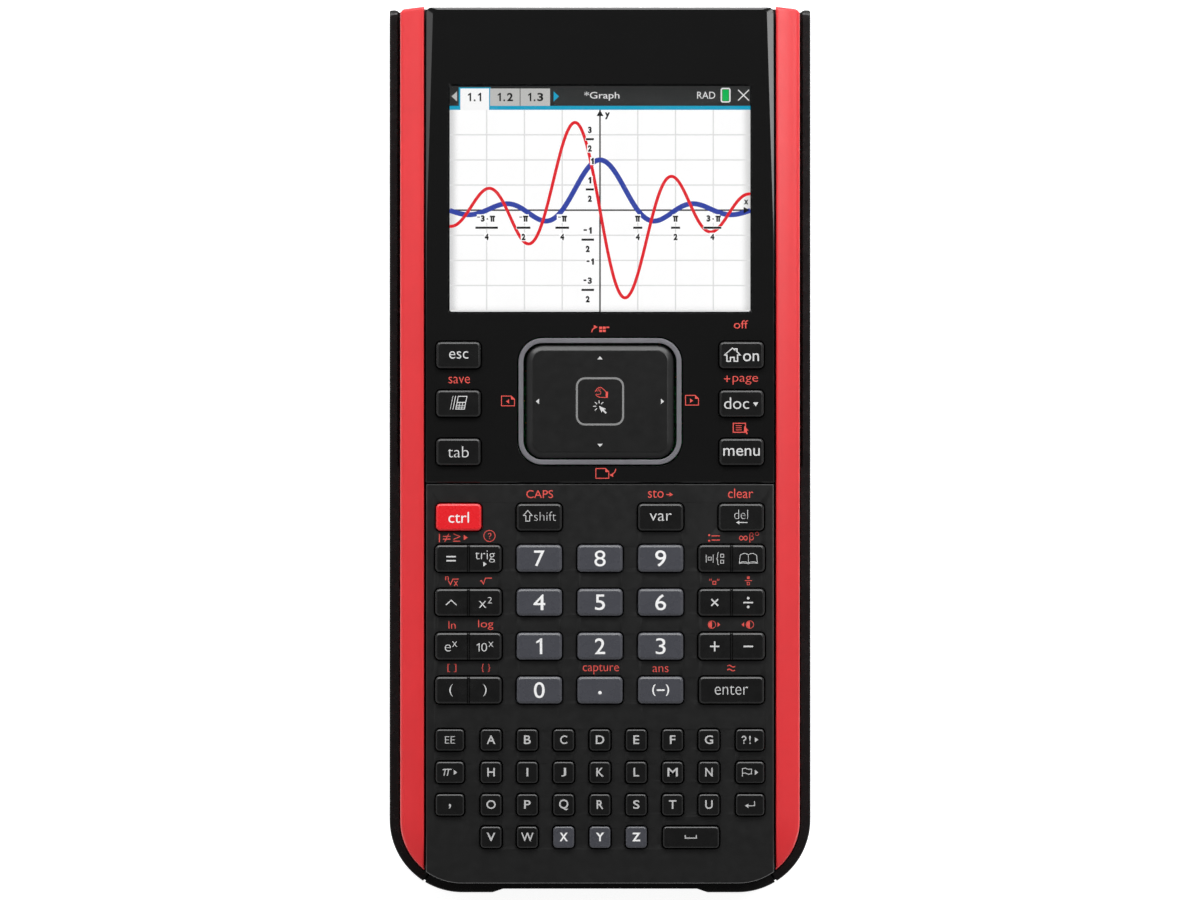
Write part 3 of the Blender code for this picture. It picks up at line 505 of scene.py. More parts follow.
class Marks:
    """A layer of thin marks about a centre; every length given to it is in millimetres."""

    def __init__(self, centre, height, thickness=0.03 * MM):
        self.centre = centre
        self.height = height
        self.thickness = thickness
        self.mesh = bmesh.new()
        self.count = 0

    def add(self, points, faces):
        """Adds flat faces, each element a hair above the last so that none coincide."""
        self.count += 1
        level = self.height + self.count * 0.0004 * MM
        x, y = self.centre
        vertices = [self.mesh.verts.new((x + px * MM, y + py * MM, level)) for px, py in points]
        for face in faces:
            if len(set(face)) > 2:
                self.mesh.faces.new([vertices[i] for i in face])

    def area(self, points):
        self.add(points, [range(len(points))])

    def box(self, x, y, width, height):
        self.area(rectangle(x, y, width, height))

    def line(self, points, width, closed=False, at=(0.0, 0.0)):
        """A stroke along the points, which are measured from a place, with mitred bends."""
        points = [(at[0] + x, at[1] + y) for x, y in points]
        count = len(points)
        sides = []
        for i, (x, y) in enumerate(points):
            here = Vector((x, y))
            before = here - Vector(points[i - 1]) if i or closed else None
            after = Vector(points[(i + 1) % count]) - here if i < count - 1 or closed else None
            a = (before or after).normalized()
            b = (after or before).normalized()
            reach = width / 2 / max(1 + a.dot(b), 0.4)
            offset = Vector((-(a.y + b.y), a.x + b.x)) * reach
            sides.append((tuple(here - offset), tuple(here + offset)))
        faces = []
        for i in range(count if closed else count - 1):
            j = (i + 1) % count
            faces.append((2 * i, 2 * j, 2 * j + 1, 2 * i + 1))
        self.add([point for pair in sides for point in pair], faces)

    def ring(self, x, y, radius, width):
        self.line(circle((x, y), radius - width / 2), width, closed=True)

    def dot(self, x, y, radius):
        self.area(circle((x, y), radius, 20))

    def frame(self, x, y, width, height, stroke, corner=0.0):
        """The outline of a rectangle, which may have round corners, as a stroke inside it."""
        width, height = width - stroke, height - stroke
        outline = pad(x, y, width, height, corner, 6) if corner else rectangle(x, y, width, height)
        self.line(outline, stroke, closed=True)

    def triangle(self, x, y, width, height, turn=0):
        """A filled triangle that points right, turned anticlockwise by a number of quarter turns."""
        points = [(-width / 2, -height / 2), (width / 2, 0), (-width / 2, height / 2)]
        for _ in range(turn):
            points = [(-py, px) for px, py in points]
        self.area([(x + px, y + py) for px, py in points])

    def words(self, text, x, y, width, height, bold):
        """Text fitted to a box about (x, y)."""
        unit, faces = glyphs(text, bold)
        self.add([(x + (px - 0.5) * width, y + (py - 0.5) * height) for px, py in unit], faces)

    def one(self, x, y, height, stroke):
        """The digit 1: a stem with a flag."""
        stem = x + 0.09 * height
        self.box(stem, y, stroke, height)
        reach = 0.3 * height
        flag_top = y + height / 2
        points = [(stem, flag_top), (stem - reach, flag_top - 0.2 * height)]
        points += [(stem - reach, flag_top - 0.2 * height - 0.85 * stroke), (stem, flag_top - 1.1 * stroke)]
        self.area(points)

    def digits(self, text, x, y, width, height, bold, stroke):
        """A number fitted to a box; the parts are set one by one."""
        shares = [{"1": 0.4, ".": 0.14, "-": 0.4}.get(part, 0.58) for part in text]
        between = 0.2
        unit = width / (sum(shares) + between * (len(text) - 1))
        left = x - width / 2
        for part, share in zip(text, shares):
            middle = left + share * unit / 2
            if part == "1":
                self.one(middle, y, height, stroke)
            elif part == ".":
                self.box(middle, y - height / 2 + stroke * 0.55, stroke, stroke * 1.1)
            elif part == "-":
                self.box(middle, y + 0.06 * height, share * unit, stroke * 0.9)
            else:
                self.words(part, middle, y, share * unit, height, bold)
            left += (share + between) * unit

    def question(self, x, y, height, stroke):
        """A question mark: a hook, a short stem and a dot."""
        radius = 0.24 * height
        middle = y + height / 2 - radius - stroke / 2
        points = arc((x, middle), radius, 165, -50, 10)
        points += [(x, y - 0.08 * height), (x, y - 0.2 * height)]
        self.line(points, stroke)
        self.dot(x, y - height / 2 + 0.6 * stroke, 0.6 * stroke)

    def pi(self, x, y, width, height, stroke, lean=0.0):
        """The letter pi: a bar, whose left end droops where the letter leans, over two legs."""
        half_x, half_y = width / 2, height / 2
        bar = half_y - stroke / 2
        droop = 0.1 * height if lean else 0.0
        self.line([(-half_x, bar - droop), (-0.7 * half_x, bar), (half_x, bar)], stroke, at=(x, y))
        for leg in (-0.38, 0.38):
            self.line([(leg * half_x, bar), ((leg - lean) * half_x, -half_y)], stroke, at=(x, y))

    def make(self, name, node, slot, material):
        """Gives the marks their thickness, half of it sunk in, and places them with the node's body."""
        self.mesh.normal_update()
        bmesh.ops.solidify(self.mesh, geom=self.mesh.faces[:], thickness=self.thickness)
        sunk = self.height - self.thickness / 2 - min(vertex.co.z for vertex in self.mesh.verts)
        for vertex in self.mesh.verts:
            vertex.co.z += sunk
        obj = object_from(self.mesh, name)
        obj.data.shade_flat()
        place(obj, node, slot, material, instead=False)


# ---------------------------------------------------------------- slide cover and rear case


case_low, case_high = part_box("rear_case")
cover_low, cover_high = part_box("slide_cover")
HALF_WIDTH = case_high.x
HANDHELD_BOTTOM = case_low.y
HANDHELD_TOP = case_high.y
LOW_CORNER = 13.4 * MM
COVER_CORNER = 15.4 * MM
COVER_PLATE = 1.8 * MM
RIGHT_CORNER = (HALF_WIDTH - LOW_CORNER, HANDHELD_BOTTOM + LOW_CORNER)  # its centre


def block(outline, low, high):
    """The two rings of an upright block."""
    return [flat(outline, high), flat(outline, low)]


def box_block(x_range, y_range, z_range):
    outline = [(x_range[0], y_range[0]), (x_range[1], y_range[0])]
    outline += [(x_range[1], y_range[1]), (x_range[0], y_range[1])]
    return block(outline, *z_range)


def grown(node):
    """The X, Y and Z ranges of a node's box with a gap all round."""
    low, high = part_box(node)
    return [(low[axis] - GAP, high[axis] + GAP) for axis in range(3)]


def both_sides(x_low, x_high):
    return ((x_low, x_high), (-x_high, -x_low))


def rail_reliefs(inner, half, y_top, top):
    """Cuts that thin the cover's walls beside the rails and slope them down at the top end."""
    step, end, low_y = inner + 0.4 * MM, 0.5 * MM, -3.6 * MM
    relief = [(inner - 0.2 * MM, low_y), (step, low_y)]
    relief += arc((step + end, y_top - end), end, 180, 90, 5)
    relief += [(step + end, y_top + PAST), (inner - 0.2 * MM, y_top + PAST)]
    cuts = [block(shape, 10.4 * MM, top + PAST) for shape in (relief, mirrored(relief))]
    for x_low, x_high in both_sides(HALF_WIDTH, half + PAST):
        levels = []
        for back, height in ((1.75, 0.25), (1.3, 0.0), (0.55, -0.36), (0.15, -0.7), (-0.1, -1.4)):
            near, far = y_top - back * MM, y_top + 2 * PAST
            corners = [(x_low, near), (x_high, near), (x_high, far), (x_low, far)]
            levels.append(flat(corners, top + height * MM))
        cuts.append(levels)
    return cuts


def thumb_cut(low_y, top):
    """The shallow recess in the lower end that a thumb pushes on."""
    half, run, depth, edge = 22.2 * MM, 1.2 * MM, 0.8 * MM, 0.02 * MM
    right = [(half + run, low_y - PAST), (half + run, low_y - edge), (half - run, low_y + depth)]
    return block(right + mirrored(right), -PAST, top + PAST)


def corner_slits(half, low_y, radius, top):
    """A narrow cut through the wall at each lower corner."""
    angle = math.radians(-58.3)
    cuts = []
    for side in (1, -1):
        centre = Vector((side * (half - radius), low_y + radius))
        along = Vector((side * math.cos(angle), math.sin(angle)))
        across = Vector((-along.y, along.x)) * 0.25 * MM
        near, far = centre + along * (LOW_CORNER - 2 * MM), centre + along * (radius + 2 * MM)
        slit = [tuple(point) for point in (near - across, far - across, far + across, near + across)]
        cuts.append(block(slit, 4.8 * MM, top + PAST))
    return cuts


def make_slide_cover():
    """A tray with a thick rim: the walls stand up round the handheld's sides and lower end."""
    top = cover_high.z
    y_top = cover_high.y + GAP
    widened, lengthened = 0.38 * MM, 0.5 * MM
    half = cover_high.x + widened
    low_y = cover_low.y - lengthened
    radius = COVER_CORNER + widened
    outline = panel(-half, half, low_y, y_top, (radius, 0.6 * MM, 0.6 * MM, radius), 28)
    profile = edge_profile(0.3 * MM, 0.3 * MM, top)
    foot = ((0, 1.3), (0.12, 0.75), (0.4, 0.35), (0.8, 0.08), (1.2, 0))
    profile += [(distance * MM, height * MM) for distance, height in foot]
    cover = solid("slide_cover_shell", rings(outline, profile))

    inner = HALF_WIDTH + GAP
    corner = LOW_CORNER + GAP
    flare = 0.75 * MM
    hollow = arc((inner - corner, HANDHELD_BOTTOM - GAP + corner), corner, -90, 0, 28)
    hollow += arc((inner + flare, y_top - flare), flare, 180, 90, 6)
    hollow.append((inner + flare, y_top + 3 * PAST))
    cuts = [block(hollow + mirrored(hollow), COVER_PLATE, top + PAST)]
    cuts += rail_reliefs(inner, half, y_top, top)
    cuts.append(thumb_cut(low_y, top))
    cuts += corner_slits(half, low_y, radius, top)
    for cut in cuts:
        combine(cover, solid("cover_cut", cut))
    beads = []
    for x in both_sides(inner - 1.1 * MM, inner + 0.2 * MM):
        beads.append(box_block(x, (-70 * MM, 88 * MM), (8.6 * MM, 9.6 * MM)))
    combine(cover, solid("cover_beads", *beads), "UNION")
    soften(cover, 0.22 * MM)
    place(finish_shape(cover), "slide_cover", "cover_black", COVER_BLACK)


def named(start):
    """The names of the nodes that start with a word, in order."""
    return [name for name in sorted(frame["nodes"]) if name.startswith(start)]


def make_rear_case():
    """The back half of the case, with bosses for its screws and a bay for the battery."""
    low, top = case_low.z, case_high.z
    corners = (LOW_CORNER, 1.6 * MM, 1.6 * MM, LOW_CORNER)
    outline = panel(-HALF_WIDTH, HALF_WIDTH, HANDHELD_BOTTOM, HANDHELD_TOP, corners, 24)
    profile = edge_profile(0.15 * MM, 0.15 * MM, top, 2)
    foot = ((0, 2.2), (0.12, 1.45), (0.45, 0.8), (0.95, 0.3), (1.5, 0))
    profile += [(distance * MM, low + height * MM) for distance, height in foot]
    case = solid("rear_case_shell", rings(outline, profile))
    floor = low + 1.8 * MM
    hollow = []
    for distance, height in ((6.8, top + PAST), (6.8, top - 1.5 * MM), (2.0, top - 1.5 * MM), (2.0, floor)):
        wall = distance * MM
        reach = HALF_WIDTH - wall
        corner = max(LOW_CORNER - wall, PAST)
        corners = (corner, PAST, PAST, corner)
        room = panel(-reach, reach, HANDHELD_BOTTOM + wall, HANDHELD_TOP - wall, corners)
        hollow.append(flat(room, height))
    combine(case, solid("case_hollow", hollow))
    bosses = []
    for name in named("case_screw"):
        bosses.append(block(circle(centre_of(name), 3.2 * MM), low + 1.0 * MM, top - 0.2 * MM))
    for name in named("battery_screw"):
        bosses.append(block(circle(centre_of(name), 2.8 * MM), floor - GAP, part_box(name)[1].z + 0.4 * MM))
    combine(case, solid("case_bosses", *bosses), "UNION")

    door_x, door_y, door_z = grown("battery_cover")
    cuts = [box_block(door_x, door_y, (low - PAST, door_z[1]))]
    for x in both_sides(HALF_WIDTH - 1.2 * MM, HALF_WIDTH + PAST):
        cuts.append(box_block(x, (HANDHELD_BOTTOM - PAST, 90 * MM), (8.2 * MM, 10.0 * MM)))
    dock_x, dock_y, dock_z = grown("dock_connector")
    cuts.append(box_block(dock_x, (HANDHELD_BOTTOM - PAST, dock_y[1] - GAP), dock_z))
    head_top = low + 1.6 * MM
    for name in named("case_screw"):
        shank = circle(centre_of(name), 1.3 * MM)
        head = circle(centre_of(name), 2.3 * MM)
        cuts.append(block(shank, head_top, top + PAST) + block(head, low - PAST, head_top))
    under_door = door_z[1] - 0.5 * MM
    ledge = 4.0 * MM + GAP
    bay_x, bay_y = [(near + ledge, far - ledge) for near, far in (door_x, door_y)]
    cuts.append(box_block(bay_x, bay_y, (under_door, floor + PAST)))
    for name in named("battery_screw"):
        cuts.append(block(circle(centre_of(name), 1.3 * MM), under_door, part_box(name)[1].z + PAST))
    for cut in cuts:
        combine(case, solid("case_cut", cut))
    soften(case, 0.12 * MM, 2)
    place(finish_shape(case), "rear_case", "case_black", CASE_BLACK)


# ---------------------------------------------------------------- rails and bezels


RAIL_PROFILE = (  # (distance in, fall) in millimetres, from the side inwards
    (0, 3.0), (0.01, 2.5), (0.03, 2.0), (0.07, 1.7), (0.16, 1.48), (0.36, 1.33), (0.8, 1.16),
    (1.4, 0.99), (2.0, 0.78), (3.0, 0.48), (4.0, 0.21), (4.8, 0.05), (5.2, 0.0),
)


def rail_drop(distance):
    """How far the red strip has fallen at a distance in from the handheld's outline."""
    distance = max(distance / MM, 0.0)
    for (near, high), (far, low) in zip(RAIL_PROFILE, RAIL_PROFILE[1:]):
        if distance <= far:
            return (high + (low - high) * (distance - near) / (far - near)) * MM
    return 0.0


def round_over(distance, reach, depth):
    """How far a rounded edge has fallen at a distance from it."""
    share = min(max(1 - distance / reach, 0.0), 1.0)
    return depth * (1 - math.sqrt(1 - share * share))


def make_side_rail(node, side):
    """The red strip: the handheld's rounded shoulder between the face and the side."""
    low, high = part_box(node)
    x_in = min(abs(low.x), abs(high.x))
    width = HALF_WIDTH - x_in
    corner_x, corner_y = RIGHT_CORNER
    columns = [0, 0.06, 0.14, 0.24, 0.36, 0.5, 0.8, 1.2, 1.8, 2.4, 3.0, 3.5, 3.9, 4.3, 4.6, 4.8, 4.94, 5.04]
    columns = [column * MM for column in columns] + [width - edge * MM for edge in (0.07, 0.03, 0.01, 0)]
    rows = [0, 0.002, 0.006, 0.012, 0.02] + [0.03 + 0.01 * i for i in range(17)]
    rows += [0.25 + 0.05 * i for i in range(14)]
    rows += [0.93, 0.95, 0.965, 0.978, 0.985, 0.99, 0.993, 0.995, 0.997, 0.9985, 1]
    end_radius = 1.1 * MM
    mesh = bmesh.new()
    made = []
    for column in columns:
        x = x_in + column
        y_low = corner_y - math.sqrt(max(LOW_CORNER**2 - (x - corner_x) ** 2, 0.0))
        share = column / width
        y_high = HANDHELD_TOP + (0.3 - 0.55 * share) * MM - round_over(HALF_WIDTH - x, end_radius, end_radius)
        line = []
        for row in rows:
            y = y_low + (y_high - y_low) * row
            if y < corner_y:
                distance = LOW_CORNER - math.hypot(x - corner_x, y - corner_y)
            else:
                distance = HALF_WIDTH - x
            z = high.z - rail_drop(distance)
            z -= round_over(column, 0.4 * MM, 0.45 * MM) + round_over(y_high - y, 0.5 * MM, 0.5 * MM)
            line.append(mesh.verts.new((side * x, y, z)))
        made.append(line)
    for near, far in zip(made, made[1:]):
        for i in range(len(rows) - 1):
            mesh.faces.new((near[i], far[i], far[i + 1], near[i + 1]))
    rim = [line[0] for line in made] + made[-1][1:] + [line[-1] for line in reversed(made[:-1])]
    rim += list(reversed(made[0][1:-1]))
    foot = [mesh.verts.new((vertex.co.x, vertex.co.y, low.z)) for vertex in rim]
    for i in range(len(rim)):
        mesh.faces.new((rim[i - 1], rim[i], foot[i], foot[i - 1]))
    mesh.faces.new(foot)
    rail = object_from(mesh, node.replace("side_rail", "rail"))
    place(finish_shape(rail), node, "rail_red", RAIL_RED)


def key_nodes(on_display_bezel):
    """Single and two-legend keys whose tops are on one of the two faces."""
    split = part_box("keypad_bezel")[1].y
    names = [name for name in named(("key_", "rocker_")) if name != "key_membrane"]
    return [name for name in names if (centre_of(name)[1] > split) == on_display_bezel]


KEY_FLANGE = 0.4 * MM


def cap_outline(node):
    """A key's outline at its cap, inside the flange that the CAD box takes in."""
    return inside(node, KEY_FLANGE, 0.95 * MM)


def hole_edge(lip, top, steps=3):
    """(inset, height) down the rounded lip of a hole."""
    return [(-distance, height) for distance, height in edge_profile(lip, lip, top, steps)]


def opening(outline, top, under, lip=0.07 * MM):
    """The rings of a hole a gap larger than a key, with a small rounded lip."""
    return rings(inset(outline, -GAP), hole_edge(lip, top) + [(0, under)])


LETTERS = ("ABCDEFG", "HIJKLMN", "OPQRSTU", "VWXYZ")
GREY_LETTERS = "XYZ"
LETTER_PITCH = 7.84
END_KEY_X = 32.4
OTHER_KEYS = (
    (("EE", -END_KEY_X, 6.1), ("marks", END_KEY_X, 6.1)),
    (("pi", -END_KEY_X, 6.1), ("flag", END_KEY_X, 6.1)),
    (("comma", -END_KEY_X, 6.1), ("return", END_KEY_X, 6.1)),
    (("space", 19.65, 12.1),),
)


def letter_sites(row):
    """(name, outline) of each key in one row of the letter keys."""
    y = centre_of(f"letter_row_{row + 1}")[1]
    keys = [(name, (column - 3) * LETTER_PITCH, 4.5) for column, name in enumerate(LETTERS[row])]
    keys += OTHER_KEYS[row]
    return [(name, pad(x * MM, y, width * MM, 4.6 * MM, 0.8 * MM)) for name, x, width in keys]


def along_sides(points, step):
    """The outline with more points along its long straight stretches."""
    made = []
    for i, (x, y) in enumerate(points):
        next_x, next_y = points[(i + 1) % len(points)]
        parts = max(1, round(math.hypot(next_x - x, next_y - y) / step))
        made += [(x + (next_x - x) * k / parts, y + (next_y - y) * k / parts) for k in range(parts)]
    return made


FACE_THICK = 1.8 * MM
FACE_WALL = 1.4 * MM


def make_display_bezel():
    """Glossy face whose side shoulders widen towards the display end."""
    low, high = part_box("display_bezel")
    top, half = high.z, high.x
    end_y = high.y + 0.1 * MM
    outline = panel(low.x, high.x, low.y, end_y, (0.15 * MM, 1.2 * MM, 1.2 * MM, 0.15 * MM), 8)
    outline = along_sides(outline, 6 * MM)
    flare_from = 47 * MM
    levels = []
    for share, fall in ((1.0, 0.0), (0.95, 0.02), (0.88, 0.09), (0.12, 0.85), (0.04, 0.96), (0.0, 1.15)):
        ring = []
        for x, y in outline:
            flare = max(0.0, (y - flare_from) / (high.y - flare_from))
            width = (0.14 + 1.5 * flare) * MM
            up = (y - low.y) / (high.y - low.y)
            new_x = x * (1 - share * width / half)
            new_y = y - share * 0.5 * MM * up + share * 0.12 * MM * (1 - up)
            end = max(0.0, 1 - min(y - low.y, high.y - y) / (1.2 * MM))
            drop = (0.24 * width) * (1 - end) + (0.2 * MM if y > 0 else 0.1 * MM) * end
            ring.append((new_x, new_y, top - fall * drop))
        levels.append(ring)
    under = top - FACE_THICK
    skirt = inset(outline, FACE_WALL)
    levels += [flat(outline, low.z), flat(skirt, low.z), flat(skirt, under)]
    holes = [opening(inset(window_outline(), GAP), top, under, 0.15 * MM)]
    holes.append(opening(ring_outline(16), top, under))
    holes += [opening(cap_outline(name), top, under) for name in key_nodes(True)]
    bezel = slab("face_upper", levels, holes)
    cuts = []
    for node in ("usb_port", "status_led"):
        x, _, z = grown(node)
        cuts.append(box_block(x, (high.y - 2.4 * MM, high.y + PAST), z))
    combine(bezel, solid("end_openings", *cuts))
    place(finish_shape(bezel), "display_bezel", "bezel_gloss", BEZEL_GLOSS)


def make_keypad_bezel():
    """Matte face, with the handheld's round corners cut short by the rails."""
    low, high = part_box("keypad_bezel")
    top, half = high.z, high.x
    end = -math.degrees(math.acos((half - RIGHT_CORNER[0]) / LOW_CORNER))
    right = arc(RIGHT_CORNER, LOW_CORNER, -90, end, 16) + [(half, high.y)]
    outline = right + mirrored(right)

    def moved(distance, height):
        """One ring of the outside, whose upper end hardly moves in."""
        split = high.y - min(distance, 0.12 * MM)
        return [(x, min(y, split) if y < 0 else y, height) for x, y in inset(outline, distance)]

    profile = ((0.36, 0.0), (0.25, 0.015), (0.15, 0.055), (0.07, 0.13), (0.02, 0.24), (0, 0.42))
    levels = [moved(distance, height) for distance, height in below(top, profile)]
    under = top - FACE_THICK
    levels += [moved(0, low.z), moved(FACE_WALL, low.z), moved(FACE_WALL, under)]
    holes = [opening(cap_outline(name), top, under) for name in key_nodes(False)]
    for row in range(4):
        holes += [opening(outline, top, under) for _, outline in letter_sites(row)]
    bezel = slab("face_lower", levels, holes)
    place(finish_shape(bezel), "keypad_bezel", "bezel_matte", BEZEL_MATTE)


# ---------------------------------------------------------------- touchpad, window and ring


def ring_outline(steps):
    """The ring's outside, within the flange that holds it under the face."""
    return inside("touch_ring", 1.1 * MM, 5.2 * MM, steps)


def make_touch_ring():
    low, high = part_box("touch_ring")
    outline = ring_outline(20)
    top = high.z
    outer = rings(outline, edge_profile(0.16 * MM, 0.16 * MM, top) + [(0, low.z)])
    inner = rings(inset(outline, 1.05 * MM), hole_edge(0.14 * MM, top, 4) + [(0, low.z)])
    ring = slab("ring", outer, [inner])
    place(finish_shape(ring), "touch_ring", "ring_grey", RING_GREY)


def make_touchpad():
    """The pad, with four arrows, a square, a pointer and a hand printed on it."""
    low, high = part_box("touchpad")
    top = high.z
    profile = ((1.5, 0.0), (1.32, 0.012), (1.15, 0.06), (0.16, 0.56), (0.06, 0.63), (0.0, 0.75))
    levels = rings(inside("touchpad", 0, 3.6 * MM, 16), below(top, profile) + [(0, low.z)])
    place(finish_shape(solid("pad", levels)), "touchpad", "touch_black", TOUCH_BLACK)

    marks = Marks(centre_of("touchpad"), top)
    for x, y, turn in ((13.5, 0, 0), (0, 9.4, 1), (-13.5, 0, 2), (0, -9.5, 3)):
        marks.triangle(x, y, 0.68, 1.15, turn)
    for spoke in range(5):
        angle = math.radians(45 + 45 * spoke)
        points = [(r * math.cos(angle), r * math.sin(angle)) for r in (0.62, 1.28)]
        marks.line(points, 0.17, at=(-0.2, -1.05))
    pointer = [(-0.23, -0.96), (0.31, -2.42), (0.57, -2.02), (1.19, -2.68), (1.45, -2.44)]
    marks.area(pointer + [(0.85, -1.8), (1.31, -1.65)])
    marks.make("pad_marks", "touchpad", "touch_black", PALE_INK)
    square = Marks(centre_of("touchpad"), top)
    square.frame(0, 0, 10.4, 10.4, 0.42, 1.75)
    square.make("pad_square", "touchpad", "touch_black", DIM_INK)
    grab = Marks(centre_of("touchpad"), top)
    back = [(-1.06, 2.11), (-0.52, 2.84), (0.18, 3.07), (0.72, 2.65), (1.3, 2.1), (1.3, 0.85)]
    grab.line(back + [(-0.06, 0.87), (-0.6, 1.1), (-0.91, 1.45)], 0.14)
    grab.box(1.5, 1.43, 0.42, 1.3)
    grab.line([(-0.91, 1.57), (-0.29, 1.49), (0.18, 1.64), (0.21, 2.03), (-0.06, 2.26)], 0.11)
    for x in (-0.65, -0.3, 0.05):
        grab.line([(x, 2.7), (x - 0.2, 2.15)], 0.1)
    grab.make("pad_red_mark", "touchpad", "touch_black", RED_INK)


def window_outline(corner=0.25 * MM):
    """The pane's raised part, within the flange that is held under the face."""
    return inside("display_window", 2.6 * MM - GAP, corner, 4)


def make_window():
    """Clear pane whose sides and border, up to the lit picture, are printed black."""
    low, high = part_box("display_window")
    outer = inside("display_window", 0, 0.4 * MM, 4)
    border = pad(*centre_of("display_window"), *PICTURE_SIZE, 0.05 * MM, 4)
    step = low.z + 0.6 * MM
    edge = below(high.z, ((0.1, 0), (0.03, 0.03), (0, 0.1)))
    levels = rings(window_outline(0.2 * MM), edge + [(0, step)])
    levels += [flat(outer, step), flat(outer, low.z), flat(border, low.z)]
    mesh = bmesh.new()
    made = skin(mesh, levels, 1)
    mesh.faces.new(made[0])
    mesh.faces.new(list(reversed(made[-1])))
    window = object_from(mesh, "window_pane")
    place(finish_shape(window, 30), "display_window", "window_clear", WINDOW_CLEAR, LCD_BORDER)


# ---------------------------------------------------------------- keys


# (distance in, fall) in millimetres, from the flat top outwards
SMALL_EDGE = ((0.36, 0.0), (0.3, 0.01), (0.26, 0.03), (0.09, 0.115), (0.04, 0.15), (0.01, 0.22), (0.0, 0.34))
NARROW_EDGE = ((0.5, 0.0), (0.42, 0.01), (0.37, 0.035), (0.11, 0.165), (0.05, 0.21), (0.01, 0.3), (0.0, 0.45))
BROAD_EDGE = ((0.57, 0.0), (0.49, 0.01), (0.44, 0.04), (0.12, 0.195), (0.05, 0.245), (0.01, 0.33), (0.0, 0.5))


def cap_levels(outline, top, foot, edge):
    """A cap with a narrow sloping border round its flat top."""
    return rings(outline, below(top, edge) + [(0, foot)])


def key_block(name, node, edge=NARROW_EDGE):
    """A key: its cap, and under it the flange that the face plate holds back."""
    low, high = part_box(node)
    outline = cap_outline(node)
    flange = inset(outline, -KEY_FLANGE)
    step = low.z + 0.8 * MM
    return solid(name, cap_levels(outline, high.z, step, edge) + [flat(flange, step), flat(flange, low.z)])


def make_key(node, slot, material, edge=NARROW_EDGE):
    cap = key_block(node.replace("key_", "cap_"), node, edge)
    place(finish_shape(cap), node, slot, material)


def make_rocker(node):
    """One cap, split by two fine slots with a thin rib between them."""
    low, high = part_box(node)
    x = centre_of(node)[0]
    rocker = key_block(node.replace("rocker_", "twin_"), node)
    y_range = (low.y + 0.2 * MM, high.y - 0.2 * MM)
    for near, far, depth in ((0.13, 0.33, 0.5), (-0.33, -0.13, 0.5), (-0.33, 0.33, 0.06)):
        z_range = (high.z - depth * MM, high.z + PAST)
        slot = box_block((x + near * MM, x + far * MM), y_range, z_range)
        combine(rocker, solid("slot", slot))
    place(finish_shape(rocker), node, "key_black", KEY_BLACK)


def make_letter_row(row):
    """One moulded strip: a row of caps on a thin web."""
    node = f"letter_row_{row + 1}"
    low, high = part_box(node)
    mesh = bmesh.new()
    foot = low.z + 0.1 * MM
    for name, outline in letter_sites(row):
        block_in(mesh, cap_levels(outline, high.z, foot, SMALL_EDGE), 1 if name in GREY_LETTERS else 0)
    y = centre_of(node)[1]
    web_x = (low.x + 0.1 * MM, high.x - 0.1 * MM)
    block_in(mesh, box_block(web_x, (y - 1.6 * MM, y + 1.6 * MM), (low.z, low.z + 0.6 * MM)))
    strip = object_from(mesh, f"letters_{row + 1}")
    place(finish_shape(strip), node, "key_black", KEY_BLACK, KEY_GREY)


# ---------------------------------------------------------------- legends on the keys


def house(marks, at):
    walls = [(-1.2, 0.0), (-1.2, -1.35), (-0.45, -1.35), (-0.45, -0.5), (0.35, -0.5), (0.35, -1.35)]
    roof = [(1.1, -1.35), (1.1, 0.0), (1.7, 0.0), (0.95, 0.75), (0.95, 1.35), (0.5, 1.35), (0.5, 1.1)]
    marks.line(walls + roof + [(0, 1.5), (-1.75, 0.0)], 0.26, closed=True, at=at)


def scratchpad(marks, at):
    """A leaning calculator in front of two pages."""

    def leaning(points, width, closed=False):
        marks.line([(x + 0.2 * y, y) for x, y in points], width, closed, at)

    leaning(rectangle(0, 0, 1.86, 2.76), 0.18, True)
    for level, reach, width in ((0.06, 0.88, 0.22), (-0.56, 0.86, 0.11), (-0.97, 0.86, 0.11)):
        leaning([(-reach, level), (reach, level)], width)
    strokes = ((-0.3, -1.34, 0.0, 0.13), (0.3, -1.34, 0.0, 0.13))
    for x, foot, head, width in strokes + ((-1.52, -1.46, 1.46, 0.17), (-2.1, -1.46, 1.46, 0.11)):
        leaning([(x, foot), (x, head)], width)


def shift_arrow(marks, at):
    right = [(0.42, -1.15), (0.42, 0.05), (0.95, 0.05)]
    marks.line(right + [(0, 1.15)] + mirrored(right), 0.15, closed=True, at=at)


def book(marks, at):
    page = [(0, 0.75), (0.5, 1.05), (1.1, 1.05), (1.75, 0.7), (1.95, -0.95), (1.2, -0.75), (0.5, -0.8)]
    page.append((0, -0.98))
    foot = [(2.0, -1.12), (1.2, -1.0), (0.4, -1.08), (0, -1.2)]
    for side in (1, -1):
        for points, width in ((page, 0.12), (foot, 0.1)):
            marks.line([(side * x, y) for x, y in points], width, at=at)
    marks.line([(0, 0.7), (0, -1.0)], 0.1, at=at)


def template(marks, x, y):
    """A number between bars and a brace with two numbers, the numbers drawn as squares."""
    for bar in (-1.73, -0.22):
        marks.line([(bar, -0.85), (bar, 0.85)], 0.12, at=(x, y))
    marks.frame(x - 0.97, y, 0.76, 0.76, 0.11)
    brace = [(0.98, 1.35), (0.78, 1.2), (0.74, 0.3), (0.52, 0.0), (0.74, -0.3), (0.78, -1.2), (0.98, -1.35)]
    marks.line(brace, 0.12, at=(x, y))
    for up in (0.62, -0.66):
        marks.frame(x + 1.73, y + up, 0.78, 0.78, 0.12)


